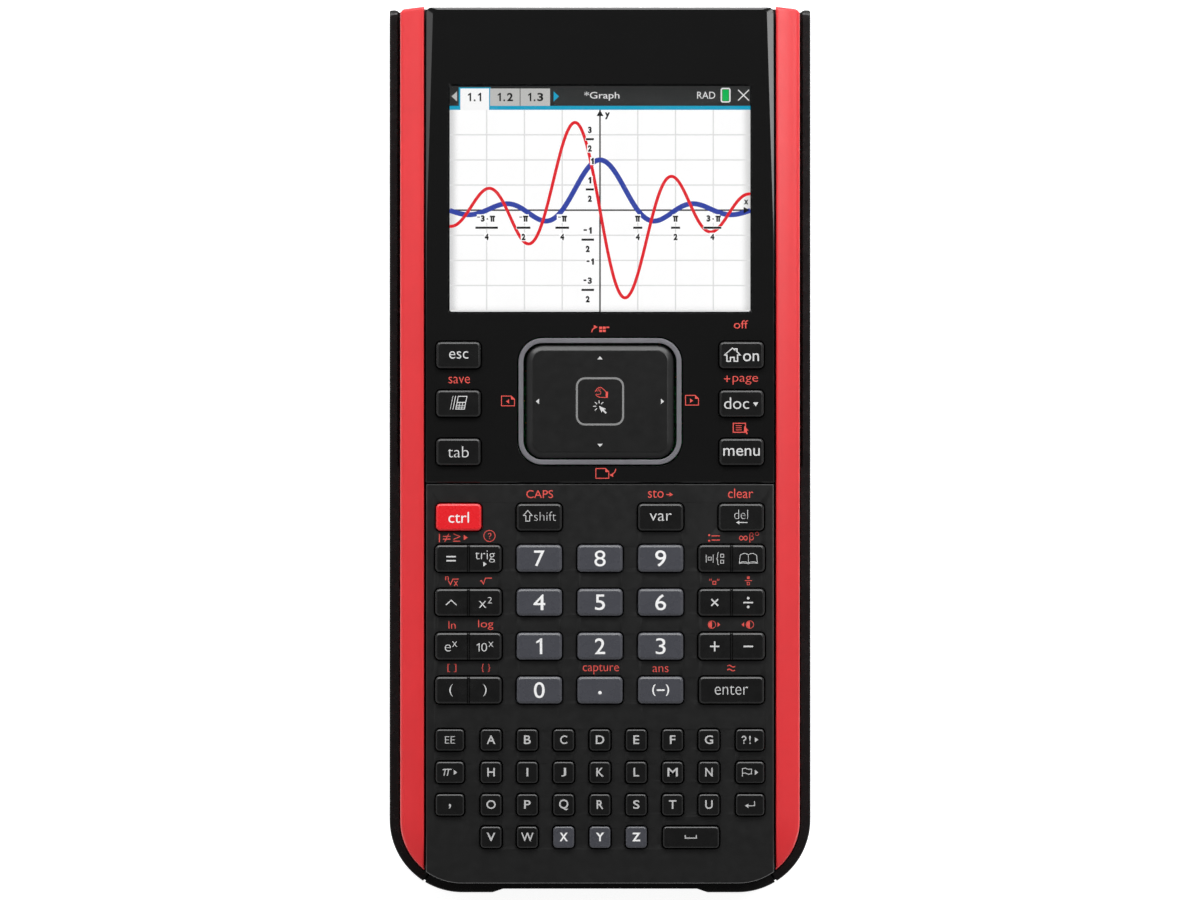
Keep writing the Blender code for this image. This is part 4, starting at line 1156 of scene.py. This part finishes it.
def flag(marks, at):
    marks.line([(-0.95, -0.9), (-0.95, 0.9)], 0.18, at=at)
    banner = [(-0.95, 0.8), (-0.35, 0.95), (0.3, 0.65), (1.0, 0.75), (1.0, -0.3), (0.3, -0.4)]
    marks.line(banner + [(-0.35, -0.1), (-0.95, -0.25)], 0.16, at=at)


# (text, x, y, width, height, boldness) for each key, in millimetres from its centre.
WORDS = {
    "key_esc": (("esc", 0.06, 0.02, 4.14, 1.6, -0.006),),
    "key_tab": (("tab", -0.06, 0, 4.54, 2.38, -0.012),),
    "key_doc": (("doc", -1.06, 0.06, 5.4, 2.5, -0.004),),
    "key_menu": (("menu", 0, -0.02, 7.88, 1.68, 0.001),),
    "key_home_on": (("on", 2.05, -0.48, 3.45, 1.74, 0.002),),
    "key_ctrl": (("ctrl", 0.0, -0.05, 4.42, 2.34, 0.0),),
    "key_shift": (("shift", 1.28, 0.2, 4.78, 1.94, -0.024),),
    "key_var": (("var", 0.01, 0.02, 4.72, 1.62, -0.01),),
    "key_del": (("del", -0.04, 0.6, 2.95, 1.98, -0.022),),
    "key_enter": (("enter", -0.03, 0.0, 7.15, 1.97, -0.016),),
    "key_negate": (("(", -1.46, 0, 0.76, 2.5, 0.012), (")", 1.46, 0, 0.76, 2.5, 0.012)),
    "rocker_equals_trig": (("trig", 3.57, 0.42, 4.28, 2.58, -0.014),),
    "rocker_power_square": (("x", 3.05, -0.45, 1.6, 1.48, -0.014), ("2", 4.6, 0.46, 0.96, 1.36, -0.012)),
    "rocker_exponentials": (
        ("e", -4.45, -0.37, 1.32, 1.48, -0.014),
        ("x", -2.98, 0.45, 1.06, 1.16, -0.016),
        ("0", 3.4, -0.22, 1.22, 1.8, -0.014),
        ("x", 4.85, 0.42, 1.06, 1.14, -0.016),
    ),
    "rocker_brackets": (("(", -3.74, -0.03, 0.78, 2.68, -0.014), (")", 3.54, -0.0, 0.78, 2.68, -0.014)),
}
DIGITS = {  # width, height and boldness
    "0": (2.34, 3.46, 0.004), "2": (2.22, 3.42, 0.006), "3": (2.12, 3.45, -0.002), "4": (2.58, 3.38, 0.006),
    "5": (2.16, 3.38, 0.004), "6": (2.34, 3.46, 0.005), "7": (2.28, 3.42, 0.004), "8": (2.42, 3.44, -0.002),
    "9": (2.38, 3.52, 0.005),
}


# Marks that aren't words, for each key: (function, its values), drawn in this order.
SHAPES = {
    "key_scratchpad": ((scratchpad, (0.62, 0.16)),),
    "key_home_on": ((house, (-1.95, 0.0)),),
    "key_doc": ((Marks.triangle, 3.05, -0.2, 0.9, 1.15, 3),),
    "key_shift": ((shift_arrow, (-2.49, 0.3)),),
    "key_del": (
        (Marks.line, [(-0.5, -1.15), (1.35, -1.15)], 0.19),
        (Marks.triangle, -0.8, -1.15, 0.75, 0.75, 2),
    ),
    "key_1": ((Marks.one, 0.06, 0.0, 3.4, 0.52),),
    "key_point": ((Marks.dot, 0, -0.55, 0.38),),
    "key_negate": ((Marks.box, 0, 0, 1.7, 0.34),),
    "rocker_equals_trig": (
        (Marks.box, -3.75, 0.38, 2.06, 0.31),
        (Marks.box, -3.75, -0.5, 2.06, 0.31),
        (Marks.triangle, 3.57, -1.22, 0.72, 1.05),
    ),
    "rocker_power_square": ((Marks.line, [(-4.88, -0.6), (-3.72, 0.46), (-2.56, -0.6)], 0.21),),
    "rocker_template_catalog": ((template, -3.75, -0.05), (book, (3.63, 0.02))),
    "rocker_exponentials": ((Marks.one, 2.15, -0.22, 1.78, 0.21),),
    "rocker_multiply_divide": (
        (Marks.line, [(-4.37, -0.77), (-2.91, 0.69)], 0.31),
        (Marks.line, [(-4.37, 0.69), (-2.91, -0.77)], 0.31),
        (Marks.box, 3.6, -0.05, 2.12, 0.31),
        (Marks.dot, 3.6, 0.9, 0.29),
        (Marks.dot, 3.6, -1.0, 0.29),
    ),
    "rocker_plus_minus": (
        (Marks.box, -3.64, -0.04, 2.04, 0.31),
        (Marks.box, -3.64, -0.04, 0.31, 2.2),
        (Marks.box, 3.63, -0.04, 2.06, 0.34),
    ),
}

NUMBER_KEYS = ["key_" + name for name in "0123456789"] + ["key_point", "key_negate"]


def make_keys():
    for node in key_nodes(True) + key_nodes(False):
        if node.startswith("rocker_"):
            make_rocker(node)
        elif node in NUMBER_KEYS:
            make_key(node, "key_grey", KEY_GREY, BROAD_EDGE)
        elif node == "key_ctrl":
            make_key(node, "key_red", KEY_RED)
        else:
            make_key(node, "key_black", KEY_BLACK)
        marks = Marks(centre_of(node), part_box(node)[1].z)
        for text, x, y, width, height, bold in WORDS.get(node, ()):
            marks.words(text, x, y, width, height, bold)
        if node[4:] in DIGITS:
            marks.words(node[4:], 0, 0, *DIGITS[node[4:]])
        for draw, *values in SHAPES.get(node, ()):
            draw(marks, *values)
        bright = node in NUMBER_KEYS or node == "key_ctrl"
        marks.make(node + "_legend", node, "key_black", WHITE_INK if bright else PALE_INK)


LETTER_WIDTHS = {
    "A": 1.88, "B": 1.49, "C": 1.54, "D": 1.82, "E": 1.28, "F": 1.2, "G": 1.8, "H": 1.63, "I": 0.38,
    "J": 1.06, "K": 1.57, "L": 1.22, "M": 2.24, "N": 1.61, "O": 2.03, "P": 1.42, "Q": 1.99, "R": 1.46,
    "S": 1.39, "T": 1.61, "U": 1.62, "V": 1.88, "W": 2.7, "X": 1.78, "Y": 1.8, "Z": 1.84,
}


def make_letter_legends(row):
    node = f"letter_row_{row + 1}"
    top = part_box(node)[1].z
    y = centre_of(node)[1]
    grey = Marks((0, y), top)
    white = Marks((0, y), top)
    for column, name in enumerate(LETTERS[row]):
        marks, bold = (white, 0.027) if name in GREY_LETTERS else (grey, 0.012)
        y_middle, tall = (0.0, 2.33) if name == "Q" else (0.06, 1.87)
        marks.words(name, (column - 3) * LETTER_PITCH, y_middle, LETTER_WIDTHS[name], tall, bold)
    if row == 0:
        grey.words("EE", -END_KEY_X, 0.02, 2.14, 1.56, -0.012)
        grey.question(31.05, 0.04, 1.76, 0.26)
        grey.words("!", 32.38, 0.04, 0.34, 1.76, 0.0)
        grey.triangle(33.8, 0.05, 0.75, 1.1)
    elif row == 1:
        grey.pi(-33.0, 0.03, 1.95, 1.5, 0.21, 0.35)
        flag(grey, (31.7, 0.0))
        for x in (33.8, -31.2):
            grey.triangle(x, 0.0, 0.75, 1.1)
    elif row == 2:
        grey.words(",", -END_KEY_X, -0.3, 0.5, 1.0, 0.01)
        grey.line([(33.37, 0.82), (33.37, -0.2), (31.9, -0.2)], 0.17)
        grey.triangle(31.68, -0.2, 0.74, 0.94, 2)
    else:
        grey.line([(18.4, 0.48), (18.4, -0.18), (20.8, -0.18), (20.8, 0.48)], 0.22)
    grey.make(f"letters_{row + 1}_legend", node, "key_black", GREY_INK)
    if row == 3:
        white.make("letters_4_grey_legend", node, "key_grey", WHITE_INK)
    else:
        white.mesh.free()


# ---------------------------------------------------------------- red legends on the bezels


def page(marks, x, y, turn=None):
    """A page with a folded corner and, on request, a triangle in it."""
    points = [(-1.4, -1.05), (1.4, -1.05), (1.4, 0.35), (0.7, 1.05), (-1.4, 1.05)]
    marks.line(points, 0.17, closed=True, at=(x, y))
    marks.area([(x + 0.65, y + 1.05), (x + 0.65, y + 0.3), (x + 1.4, y + 0.3)])
    if turn is not None:
        marks.triangle(x - 0.1, y - 0.1, 0.65, 0.95, turn)


def half_moon(marks, x, y):
    marks.ring(x, y, 0.87, 0.13)
    marks.area(arc((x, y), 0.7, 90, 270, 12))


def upper_legends(marks):
    """Red marks on the glossy face; their places are from the touchpad's centre."""
    marks.line([(-1.8, 14.95), (-1.62, 15.5), (-1.15, 15.95)], 0.22)
    marks.triangle(-0.92, 16.05, 0.8, 0.88)
    for column in range(2):
        for line in range(2):
            marks.box(0.15 + 0.77 * column, 15.9 - 0.66 * line, 0.62, 0.5)
    marks.box(1.69, 16.0, 0.62, 0.32)
    page(marks, -19.87, 0.1, 2)
    page(marks, 19.87, 0.25, 0)
    page(marks, 0.5, -15.55)
    marks.line([(3.4, -14.6), (3.18, -15.3), (2.6, -15.8)], 0.2)
    marks.triangle(2.45, -15.9, 0.75, 0.85, 2)
    marks.words("off", 30.44, 16.62, 3.08, 1.76, -0.003)
    marks.words("save", -30.4, 4.61, 4.6, 1.4, -0.009)
    marks.words("page", 31.39, 4.57, 5.48, 1.84, -0.01)
    marks.words("+", 27.45, 4.87, 1.34, 1.34, -0.006)
    marks.frame(30.1, -5.7, 2.85, 2.15, 0.21)
    for line in range(3):
        marks.box(29.95, -5.25 - 0.45 * line, 1.3, 0.14)
    pointer = [(31.15, -5.25), (31.1, -6.65), (31.4, -6.4), (31.6, -7.1), (31.88, -6.98)]
    marks.area(pointer + [(31.7, -6.28), (32.07, -6.33)])


def lower_legends(marks):
    """Red marks on the matte face; their places are from the middle of the 8 key."""
    marks.words("CAPS", -13.03, 13.87, 5.75, 1.7, -0.002)
    marks.words("sto", 12.05, 13.91, 3.38, 1.66, -0.006)
    marks.line([(14.3, 13.78), (15.2, 13.78)], 0.2)
    marks.triangle(15.4, 13.78, 0.72, 0.92)
    marks.words("clear", 30.37, 14.06, 5.42, 2.06, -0.004)
    y = 4.45  # over the row of the 7, 8 and 9 keys
    pitch = 9.48  # from one row of number keys to the next
    marks.box(-34.68, y - 0.06, 0.22, 1.84)
    for line in (0.3, -0.3):
        marks.box(-33.1, y + line, 1.65, 0.18)
    marks.line([(-33.55, -0.85), (-32.65, 0.85)], 0.18, at=(0, y))
    marks.line([(-31.65, 0.85), (-30.25, 0.25), (-31.65, -0.35)], 0.19, at=(0, y))
    marks.box(-30.95, y - 0.75, 1.5, 0.18)
    marks.triangle(-29.0, y + 0.05, 0.85, 1.15)
    marks.ring(-23.87, y + 0.39, 1.28, 0.14)
    marks.question(-23.85, y + 0.4, 1.28, 0.15)
    for line in (0.45, -0.45):
        marks.box(25.0, y - 0.05 + line, 1.78, 0.2)
        marks.dot(23.58, y - 0.05 + line * 1.35, 0.22)
    marks.words("∞", 30.97, y - 0.07, 1.82, 1.06, -0.004)
    marks.words("β", 32.74, y + 0.07, 0.92, 2.14, -0.008)
    marks.ring(33.92, y + 0.83, 0.42, 0.12)
    y -= pitch
    marks.words("n", -33.05, y + 0.74, 0.74, 0.85, 0.0)
    marks.line([(-32.75, 0.2), (-32.3, -0.65), (-31.75, 0.55), (-30.55, 0.55)], 0.18, at=(0, y))
    marks.words("x", -31.12, y - 0.4, 0.9, 1.06, -0.004)
    root = [(-25.9, 0.12), (-25.6, 0.25), (-25.18, -0.55), (-24.76, 0.76), (-23.36, 0.76)]
    marks.line(root, 0.18, at=(0, y))
    marks.frame(24.7, y - 0.25, 0.8, 0.8, 0.16)
    for x in (23.7, 24.02, 25.33, 25.65):
        marks.line([(0, 0.17), (0.05, 0.62)], 0.12, at=(x, y))
    marks.box(32.04, y + 0.87, 0.58, 0.58)
    marks.box(32.04, y + 0.22, 1.5, 0.14)
    marks.frame(32.04, y - 0.42, 0.64, 0.64, 0.12)
    y -= pitch
    marks.words("ln", -31.96, y + 0.13, 1.52, 1.62, -0.01)
    marks.words("log", -24.68, y + 0.14, 3.28, 2.12, -0.007)
    half_moon(marks, 24.17, y + 0.2)
    for x, turn in ((25.68, 0), (30.85, 2)):
        marks.triangle(x, y + 0.2, 0.55, 1.0, turn)
    half_moon(marks, 32.38, y + 0.2)
    y -= pitch
    for x, pair, thin in ((-31.98, "[]", -0.016), (-24.65, "{}", -0.006)):
        for bracket, side in zip(pair, (-0.69, 0.69)):
            marks.words(bracket, x + side, y + 0.31, 0.52, 1.72, thin)
    marks.words("capture", 0.18, y + 0.03, 7.8, 2.08, -0.01)
    marks.words("ans", 13.08, y + 0.04, 3.42, 1.24, -0.012)
    for line in (0.44, -0.4):
        wave = [(0.166 * i, 0.2 * math.sin(2 * math.pi * i / 10)) for i in range(11)]
        marks.line(wave, 0.2, at=(27.5, y + 0.26 + line))


def make_face_legends():
    upper = Marks(centre_of("touch_ring"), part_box("display_bezel")[1].z)
    upper_legends(upper)
    upper.make("face_upper_legends", "display_bezel", "bezel_gloss", RED_INK)
    lower = Marks(centre_of("key_8"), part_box("keypad_bezel")[1].z)
    lower_legends(lower)
    lower.make("face_lower_legends", "keypad_bezel", "bezel_matte", RED_INK)


# ---------------------------------------------------------------- the lit picture

PICTURE_WIDE, PICTURE_TALL = PICTURE_SIZE[0] / MM, PICTURE_SIZE[1] / MM
PICTURE_TOP = PICTURE_TALL / 2
BAR_TALL = 4.3
RULE_TALL = 0.86
GRAPH_TALL = PICTURE_TALL - BAR_TALL - RULE_TALL
GRAPH_TOP = GRAPH_TALL - PICTURE_TOP
GRAPH_MIDDLE = GRAPH_TOP - GRAPH_TALL / 2
GRAPH_X = 8.165  # the length of a quarter of pi
GRAPH_Y = 5.43  # the length of one half
GRAPH_ORIGIN = -2.45
FRONT_TAB_X = -27.08
LAYER = 0.02 * MM


# Lengths in the picture are in millimetres from the middle of the display.


class Picture:
    """Layers of lit marks, each above the last, clear of the window's underside."""

    def __init__(self):
        self.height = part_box("lcd_panel")[1].z + 0.03 * MM
        self.centre = centre_of("lcd_panel")
        self.count = 0

    def layer(self):
        self.count += 1
        return Marks(self.centre, self.height + self.count * LAYER, 0.012 * MM)

    def done(self, marks, name, colour, painted_edge_shade=False):
        material = glowing("lit_" + name, colour, painted_edge_shade)
        marks.make("picture_" + name, "lcd_panel", "lcd", material)

    def boxes(self, name, colour, *boxes, painted_edge_shade=False):
        """A layer of boxes, each (x, y, width, height)."""
        marks = self.layer()
        for box in boxes:
            marks.box(*box)
        self.done(marks, name, colour, painted_edge_shade)


def sine_over(u):
    return 1.0 if abs(u) < 1e-6 else math.sin(u) / u


def slope_of(u):
    """The slope, over x, of sine_over(4x)."""
    return 0.0 if abs(u) < 1e-6 else 4 * (u * math.cos(u) - math.sin(u)) / (u * u)


def graph_points(function):
    """The graph of a function of 4x across the picture, in millimetres."""
    steps = 420
    points = []
    for step in range(steps + 1):
        x = PICTURE_WIDE * (step / steps - 0.5)
        u = math.pi * x / GRAPH_X
        points.append((x, GRAPH_ORIGIN + 2 * GRAPH_Y * function(u)))
    return points


def fraction(marks, paper, x, y, above, below, wide):
    """A stacked fraction: number, bar and number, on their own paper."""
    tall = 1.4
    top_wide = wide - 0.9
    paper.box(x, y + 2.0, max(top_wide, 1.0) + 0.3, tall + 0.4)
    paper.box(x, y, wide + 0.2, 0.6)
    paper.box(x, y - 2.0, 1.2, tall + 0.4)
    if above.endswith("π"):
        pi_right = {"-3·π": 1.25, "-π": 0.45, "π": 0.0, "3·π": 1.25}[above]
        marks.pi(x + pi_right, y + 1.95, 1.15, 1.3, 0.36)
        if above.startswith("-"):
            marks.box(x - (1.75 if "3" in above else 0.6), y + 2.3, 0.6, 0.2)
        if "3" in above:
            marks.words("3", x - 0.85, y + 2.0, 0.8, tall, 0.06)
            marks.dot(x + 0.15, y + 1.9, 0.17)
    else:
        marks.digits(above, x, y + 2.0, top_wide if len(above) > 1 else 0.8, tall, 0.05, 0.4)
    marks.box(x, y, wide, 0.46)
    marks.words(below, x, y - 2.0, 0.85, tall, 0.06)


def draw_screen(picture):
    """The paper, the top bar with its page tabs, the grid, the axes and the two graphs."""
    whole = (0, GRAPH_MIDDLE, PICTURE_WIDE, GRAPH_TALL)
    # the paper carries painted shade along its sides and foot, standing in for the window edges' shadow
    picture.boxes("paper", "#fdfdfd", whole, painted_edge_shade=True)
    picture.boxes("bar", "#292a2a", (0, PICTURE_TOP - BAR_TALL / 2, PICTURE_WIDE, BAR_TALL))
    rule = picture.layer()
    rule.box(0, GRAPH_TOP + RULE_TALL / 2, PICTURE_WIDE, RULE_TALL)
    rule.triangle(-9.45, PICTURE_TOP - 2.25, 1.15, 2.2)
    rule.box(FRONT_TAB_X, PICTURE_TOP - 0.3 - BAR_TALL / 2, 6.9, BAR_TALL)
    picture.done(rule, "rule", "#0f9abf")

    tabs = picture.layer()
    tab_low, tab_high = PICTURE_TOP - BAR_TALL, PICTURE_TOP - 0.55
    for x in (-20.55, -14.0):
        tabs.box(x, (tab_low + tab_high) / 2, 6.4, tab_high - tab_low)
    tabs.triangle(-31.5, PICTURE_TOP - 2.25, 1.2, 2.2, 2)
    picture.done(tabs, "tabs", "#b9b9b7")
    tab_low = GRAPH_TOP - 0.1
    picture.boxes("front_tab", "#f6f6f6", (FRONT_TAB_X, (tab_low + tab_high) / 2, 6.2, tab_high - tab_low))

    grid = [(step * GRAPH_X, GRAPH_MIDDLE, 0.3, GRAPH_TALL) for step in range(-3, 4)]
    grid += [(0, GRAPH_ORIGIN + step * GRAPH_Y, PICTURE_WIDE, 0.3) for step in range(-4, 4)]
    picture.boxes("grid", "#dedede", *grid)
    across, up = (0, GRAPH_ORIGIN, PICTURE_WIDE, 0.34), (0, GRAPH_MIDDLE, 0.34, GRAPH_TALL)
    picture.boxes("axes", "#343434", up, across)
    graphs = (("wave", sine_over, 1.08, "#2f42a0"), ("slope", slope_of, 0.68, "#de1a26"))
    for name, function, width, colour in graphs:
        graph = picture.layer()
        graph.line(graph_points(function), width)
        picture.done(graph, name, colour)


def draw_labels(picture):
    """The numbers along the axes, each on its own patch of paper, and those on the tabs."""
    paper = picture.layer()
    labels = picture.layer()
    for step, above in ((3, "3"), (1, "1"), (-1, "-1"), (-3, "-3")):
        x, wide = (-2.2, 1.75) if step > 0 else (-2.65, 2.7)
        fraction(labels, paper, x, GRAPH_ORIGIN + step * GRAPH_Y - 0.95, above, "2", wide)
    for step, text in ((2, "1"), (-2, "-1")):
        y = GRAPH_ORIGIN + step * GRAPH_Y - 0.25
        x, wide = (-1.65, 0.6) if step > 0 else (-2.1, 1.6)
        paper.box(x, y, wide + 0.35, 1.7)
        labels.digits(text, x, y, wide, 1.35, 0.05, 0.4)
    bars = ((-3, "-3·π", "4", 4.85), (-2, "-π", "2", 2.95), (-1, "-π", "4", 2.95))
    bars += ((1, "π", "4", 1.95), (2, "π", "2", 1.95), (3, "3·π", "4", 3.85))
    for step, above, below, wide in bars:
        x = step * GRAPH_X - (0.2 if step in (-2, 3) else 0)
        fraction(labels, paper, x, GRAPH_ORIGIN - 3.8, above, below, wide)
    picture.done(paper, "label_paper", "#fdfdfd")
    labels.words("y", 1.6, GRAPH_TOP - 1.3, 1.1, 1.5, 0.05)
    labels.words("x", 31.6, GRAPH_ORIGIN + 1.75, 0.95, 1.0, 0.05)
    labels.triangle(0, GRAPH_TOP - 0.7, 1.3, 1.5, 1)
    labels.triangle(PICTURE_WIDE / 2 - 0.8, GRAPH_ORIGIN, 1.3, 1.4)
    for text, x, wide in (("1.1", -27.1, 3.1), ("1.2", -20.5, 3.4), ("1.3", -13.95, 3.35)):
        labels.digits(text, x, PICTURE_TOP - 2.4, wide, 1.8, 0.03, 0.34)
    picture.done(labels, "labels", "#101010")


def draw_status(picture):
    """The document's name, the angle unit, the battery and the close mark in the top bar."""
    middle = PICTURE_TOP - 2.0
    battery_x = 27.15
    status = picture.layer()
    status.words("*Graph", 0.4, middle - 0.2, 7.6, 1.95, 0.004)
    status.words("RAD", 22.95, middle, 3.9, 1.5, 0.0)
    for rise in (1.15, -1.15):
        status.line([(29.85, middle - rise), (32.2, middle + rise)], 0.22)
    status.frame(battery_x, middle, 2.15, 3.2, 0.3, 0.35)
    picture.done(status, "status", "#dedede")
    picture.boxes("charge", "#00b050", (battery_x, middle, 1.35, 2.4))


# ---------------------------------------------------------------- carried-over CAD nodes

CARRIED = {
    "lcd_panel": LCD_BORDER,
    "lcd_frame": FRAME_STEEL,
    "main_board": BOARD,
    "key_membrane": RUBBER,
    "battery_pack": BATTERY_FOIL,
    "battery_cover": CASE_BLACK,
    "usb_port": SOCKET_STEEL,
    "dock_connector": DOCK_BLACK,
    "status_led": LED_CLEAR,
    "touch_dome_pad": RUBBER,
    "touch_sensor_board": BOARD,
}


def dress_carried_nodes():
    for node, obj in frame["nodes"].items():
        material = STEEL if "_screw_" in node else CARRIED.get(node)
        if material is not None:
            obj.data.materials.clear()
            obj.data.materials.append(material)


# ---------------------------------------------------------------- floor, light and camera


def make_floor():
    bpy.ops.mesh.primitive_plane_add(size=14)
    floor = bpy.context.object
    floor.name = "floor"
    nodes = Nodes("floor")
    base = nodes.blend(nodes.noise(0.25, 3.0), (0.84, 0.84, 0.84, 1), (0.87, 0.87, 0.87, 1))
    nodes.set(Base_Color=base, Roughness=0.9, Specular_IOR_Level=0.1)
    nodes.set(Emission_Color=(1, 1, 1, 1), Emission_Strength=0.8)
    floor.data.materials.append(nodes.material)


def aim(obj, direction):
    obj.rotation_mode = "QUATERNION"
    obj.rotation_quaternion = Vector(direction).to_track_quat("-Z", "Y")


def direction_from(azimuth, elevation):
    """Unit vector towards a light: azimuth 0 is +Y and 90 is +X."""
    a, e = math.radians(azimuth), math.radians(elevation)
    return Vector((math.sin(a) * math.cos(e), math.cos(a) * math.cos(e), math.sin(e)))


def add_softbox(name, target, azimuth, elevation, distance, size, radiance):
    light = bpy.data.lights.new(name, "AREA")
    light.shape = "RECTANGLE"
    light.size, light.size_y = size
    light.energy = math.pi * size[0] * size[1] * radiance
    obj = new_object(name, light)
    towards = direction_from(azimuth, elevation)
    obj.location = Vector(target) + towards * distance
    aim(obj, -towards)
    obj.visible_camera = False


def make_world():
    """A pale horizon that darkens overhead, so that level glossy faces stay black."""
    world = bpy.data.worlds.new("studio")
    bpy.context.scene.world = world
    world.use_nodes = True
    tree = world.node_tree
    background = tree.nodes["Background"]
    towards = tree.nodes.new("ShaderNodeTexCoord")
    split = tree.nodes.new("ShaderNodeSeparateXYZ")
    ramp = tree.nodes.new("ShaderNodeValToRGB")
    tree.links.new(towards.outputs["Generated"], split.inputs[0])
    tree.links.new(split.outputs["Z"], ramp.inputs[0])
    stops = ((0.0, 0.9), (0.35, 0.65), (0.62, 0.35), (0.8, 0.12), (0.9, 0.045), (1.0, 0.035))
    elements = ramp.color_ramp.elements
    elements[0].position, elements[1].position = stops[0][0], stops[-1][0]
    for position, _ in stops[1:-1]:
        elements.new(position)
    for element, (_, value) in zip(elements, stops):
        element.color = (value, value, value, 1)
    tree.links.new(ramp.outputs["Color"], background.inputs["Color"])
    background.inputs["Strength"].default_value = 1.0


def make_lights():
    make_world()
    add_softbox("main_light", (0, 0, 0.02), 0, 42, 0.72, (1.1, 0.28), 6.0)
    add_softbox("right_light", (0, 0.22, 0.02), 90, 60, 0.7, (0.3, 0.2), 6.5)
    add_softbox("left_light", (0, 0.2, 0.02), -90, 56, 0.7, (0.3, 0.2), 1.7)


def make_camera():
    """Straight above the face, with 259.2 mm across the picture at the height of the face."""
    lens, sensor, across = 300.0, 36.0, 259.2 * MM
    camera = bpy.data.cameras.new("camera")
    camera.lens = lens
    camera.sensor_width = sensor
    obj = new_object("camera", camera)
    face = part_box("keypad_bezel")[1].z
    obj.location = (0, -0.1 * MM, face + across * lens / sensor)
    bpy.context.scene.camera = obj


def main():
    bpy.context.scene.view_settings.view_transform = "Standard"
    make_slide_cover()
    make_rear_case()
    make_side_rail("side_rail_left", -1)
    make_side_rail("side_rail_right", 1)
    make_display_bezel()
    make_keypad_bezel()
    make_touch_ring()
    make_touchpad()
    make_window()
    make_keys()
    for row in range(4):
        make_letter_row(row)
        make_letter_legends(row)
    make_face_legends()
    picture = Picture()
    draw_screen(picture)
    draw_labels(picture)
    draw_status(picture)
    dress_carried_nodes()
    make_floor()
    make_lights()
    make_camera()


main()
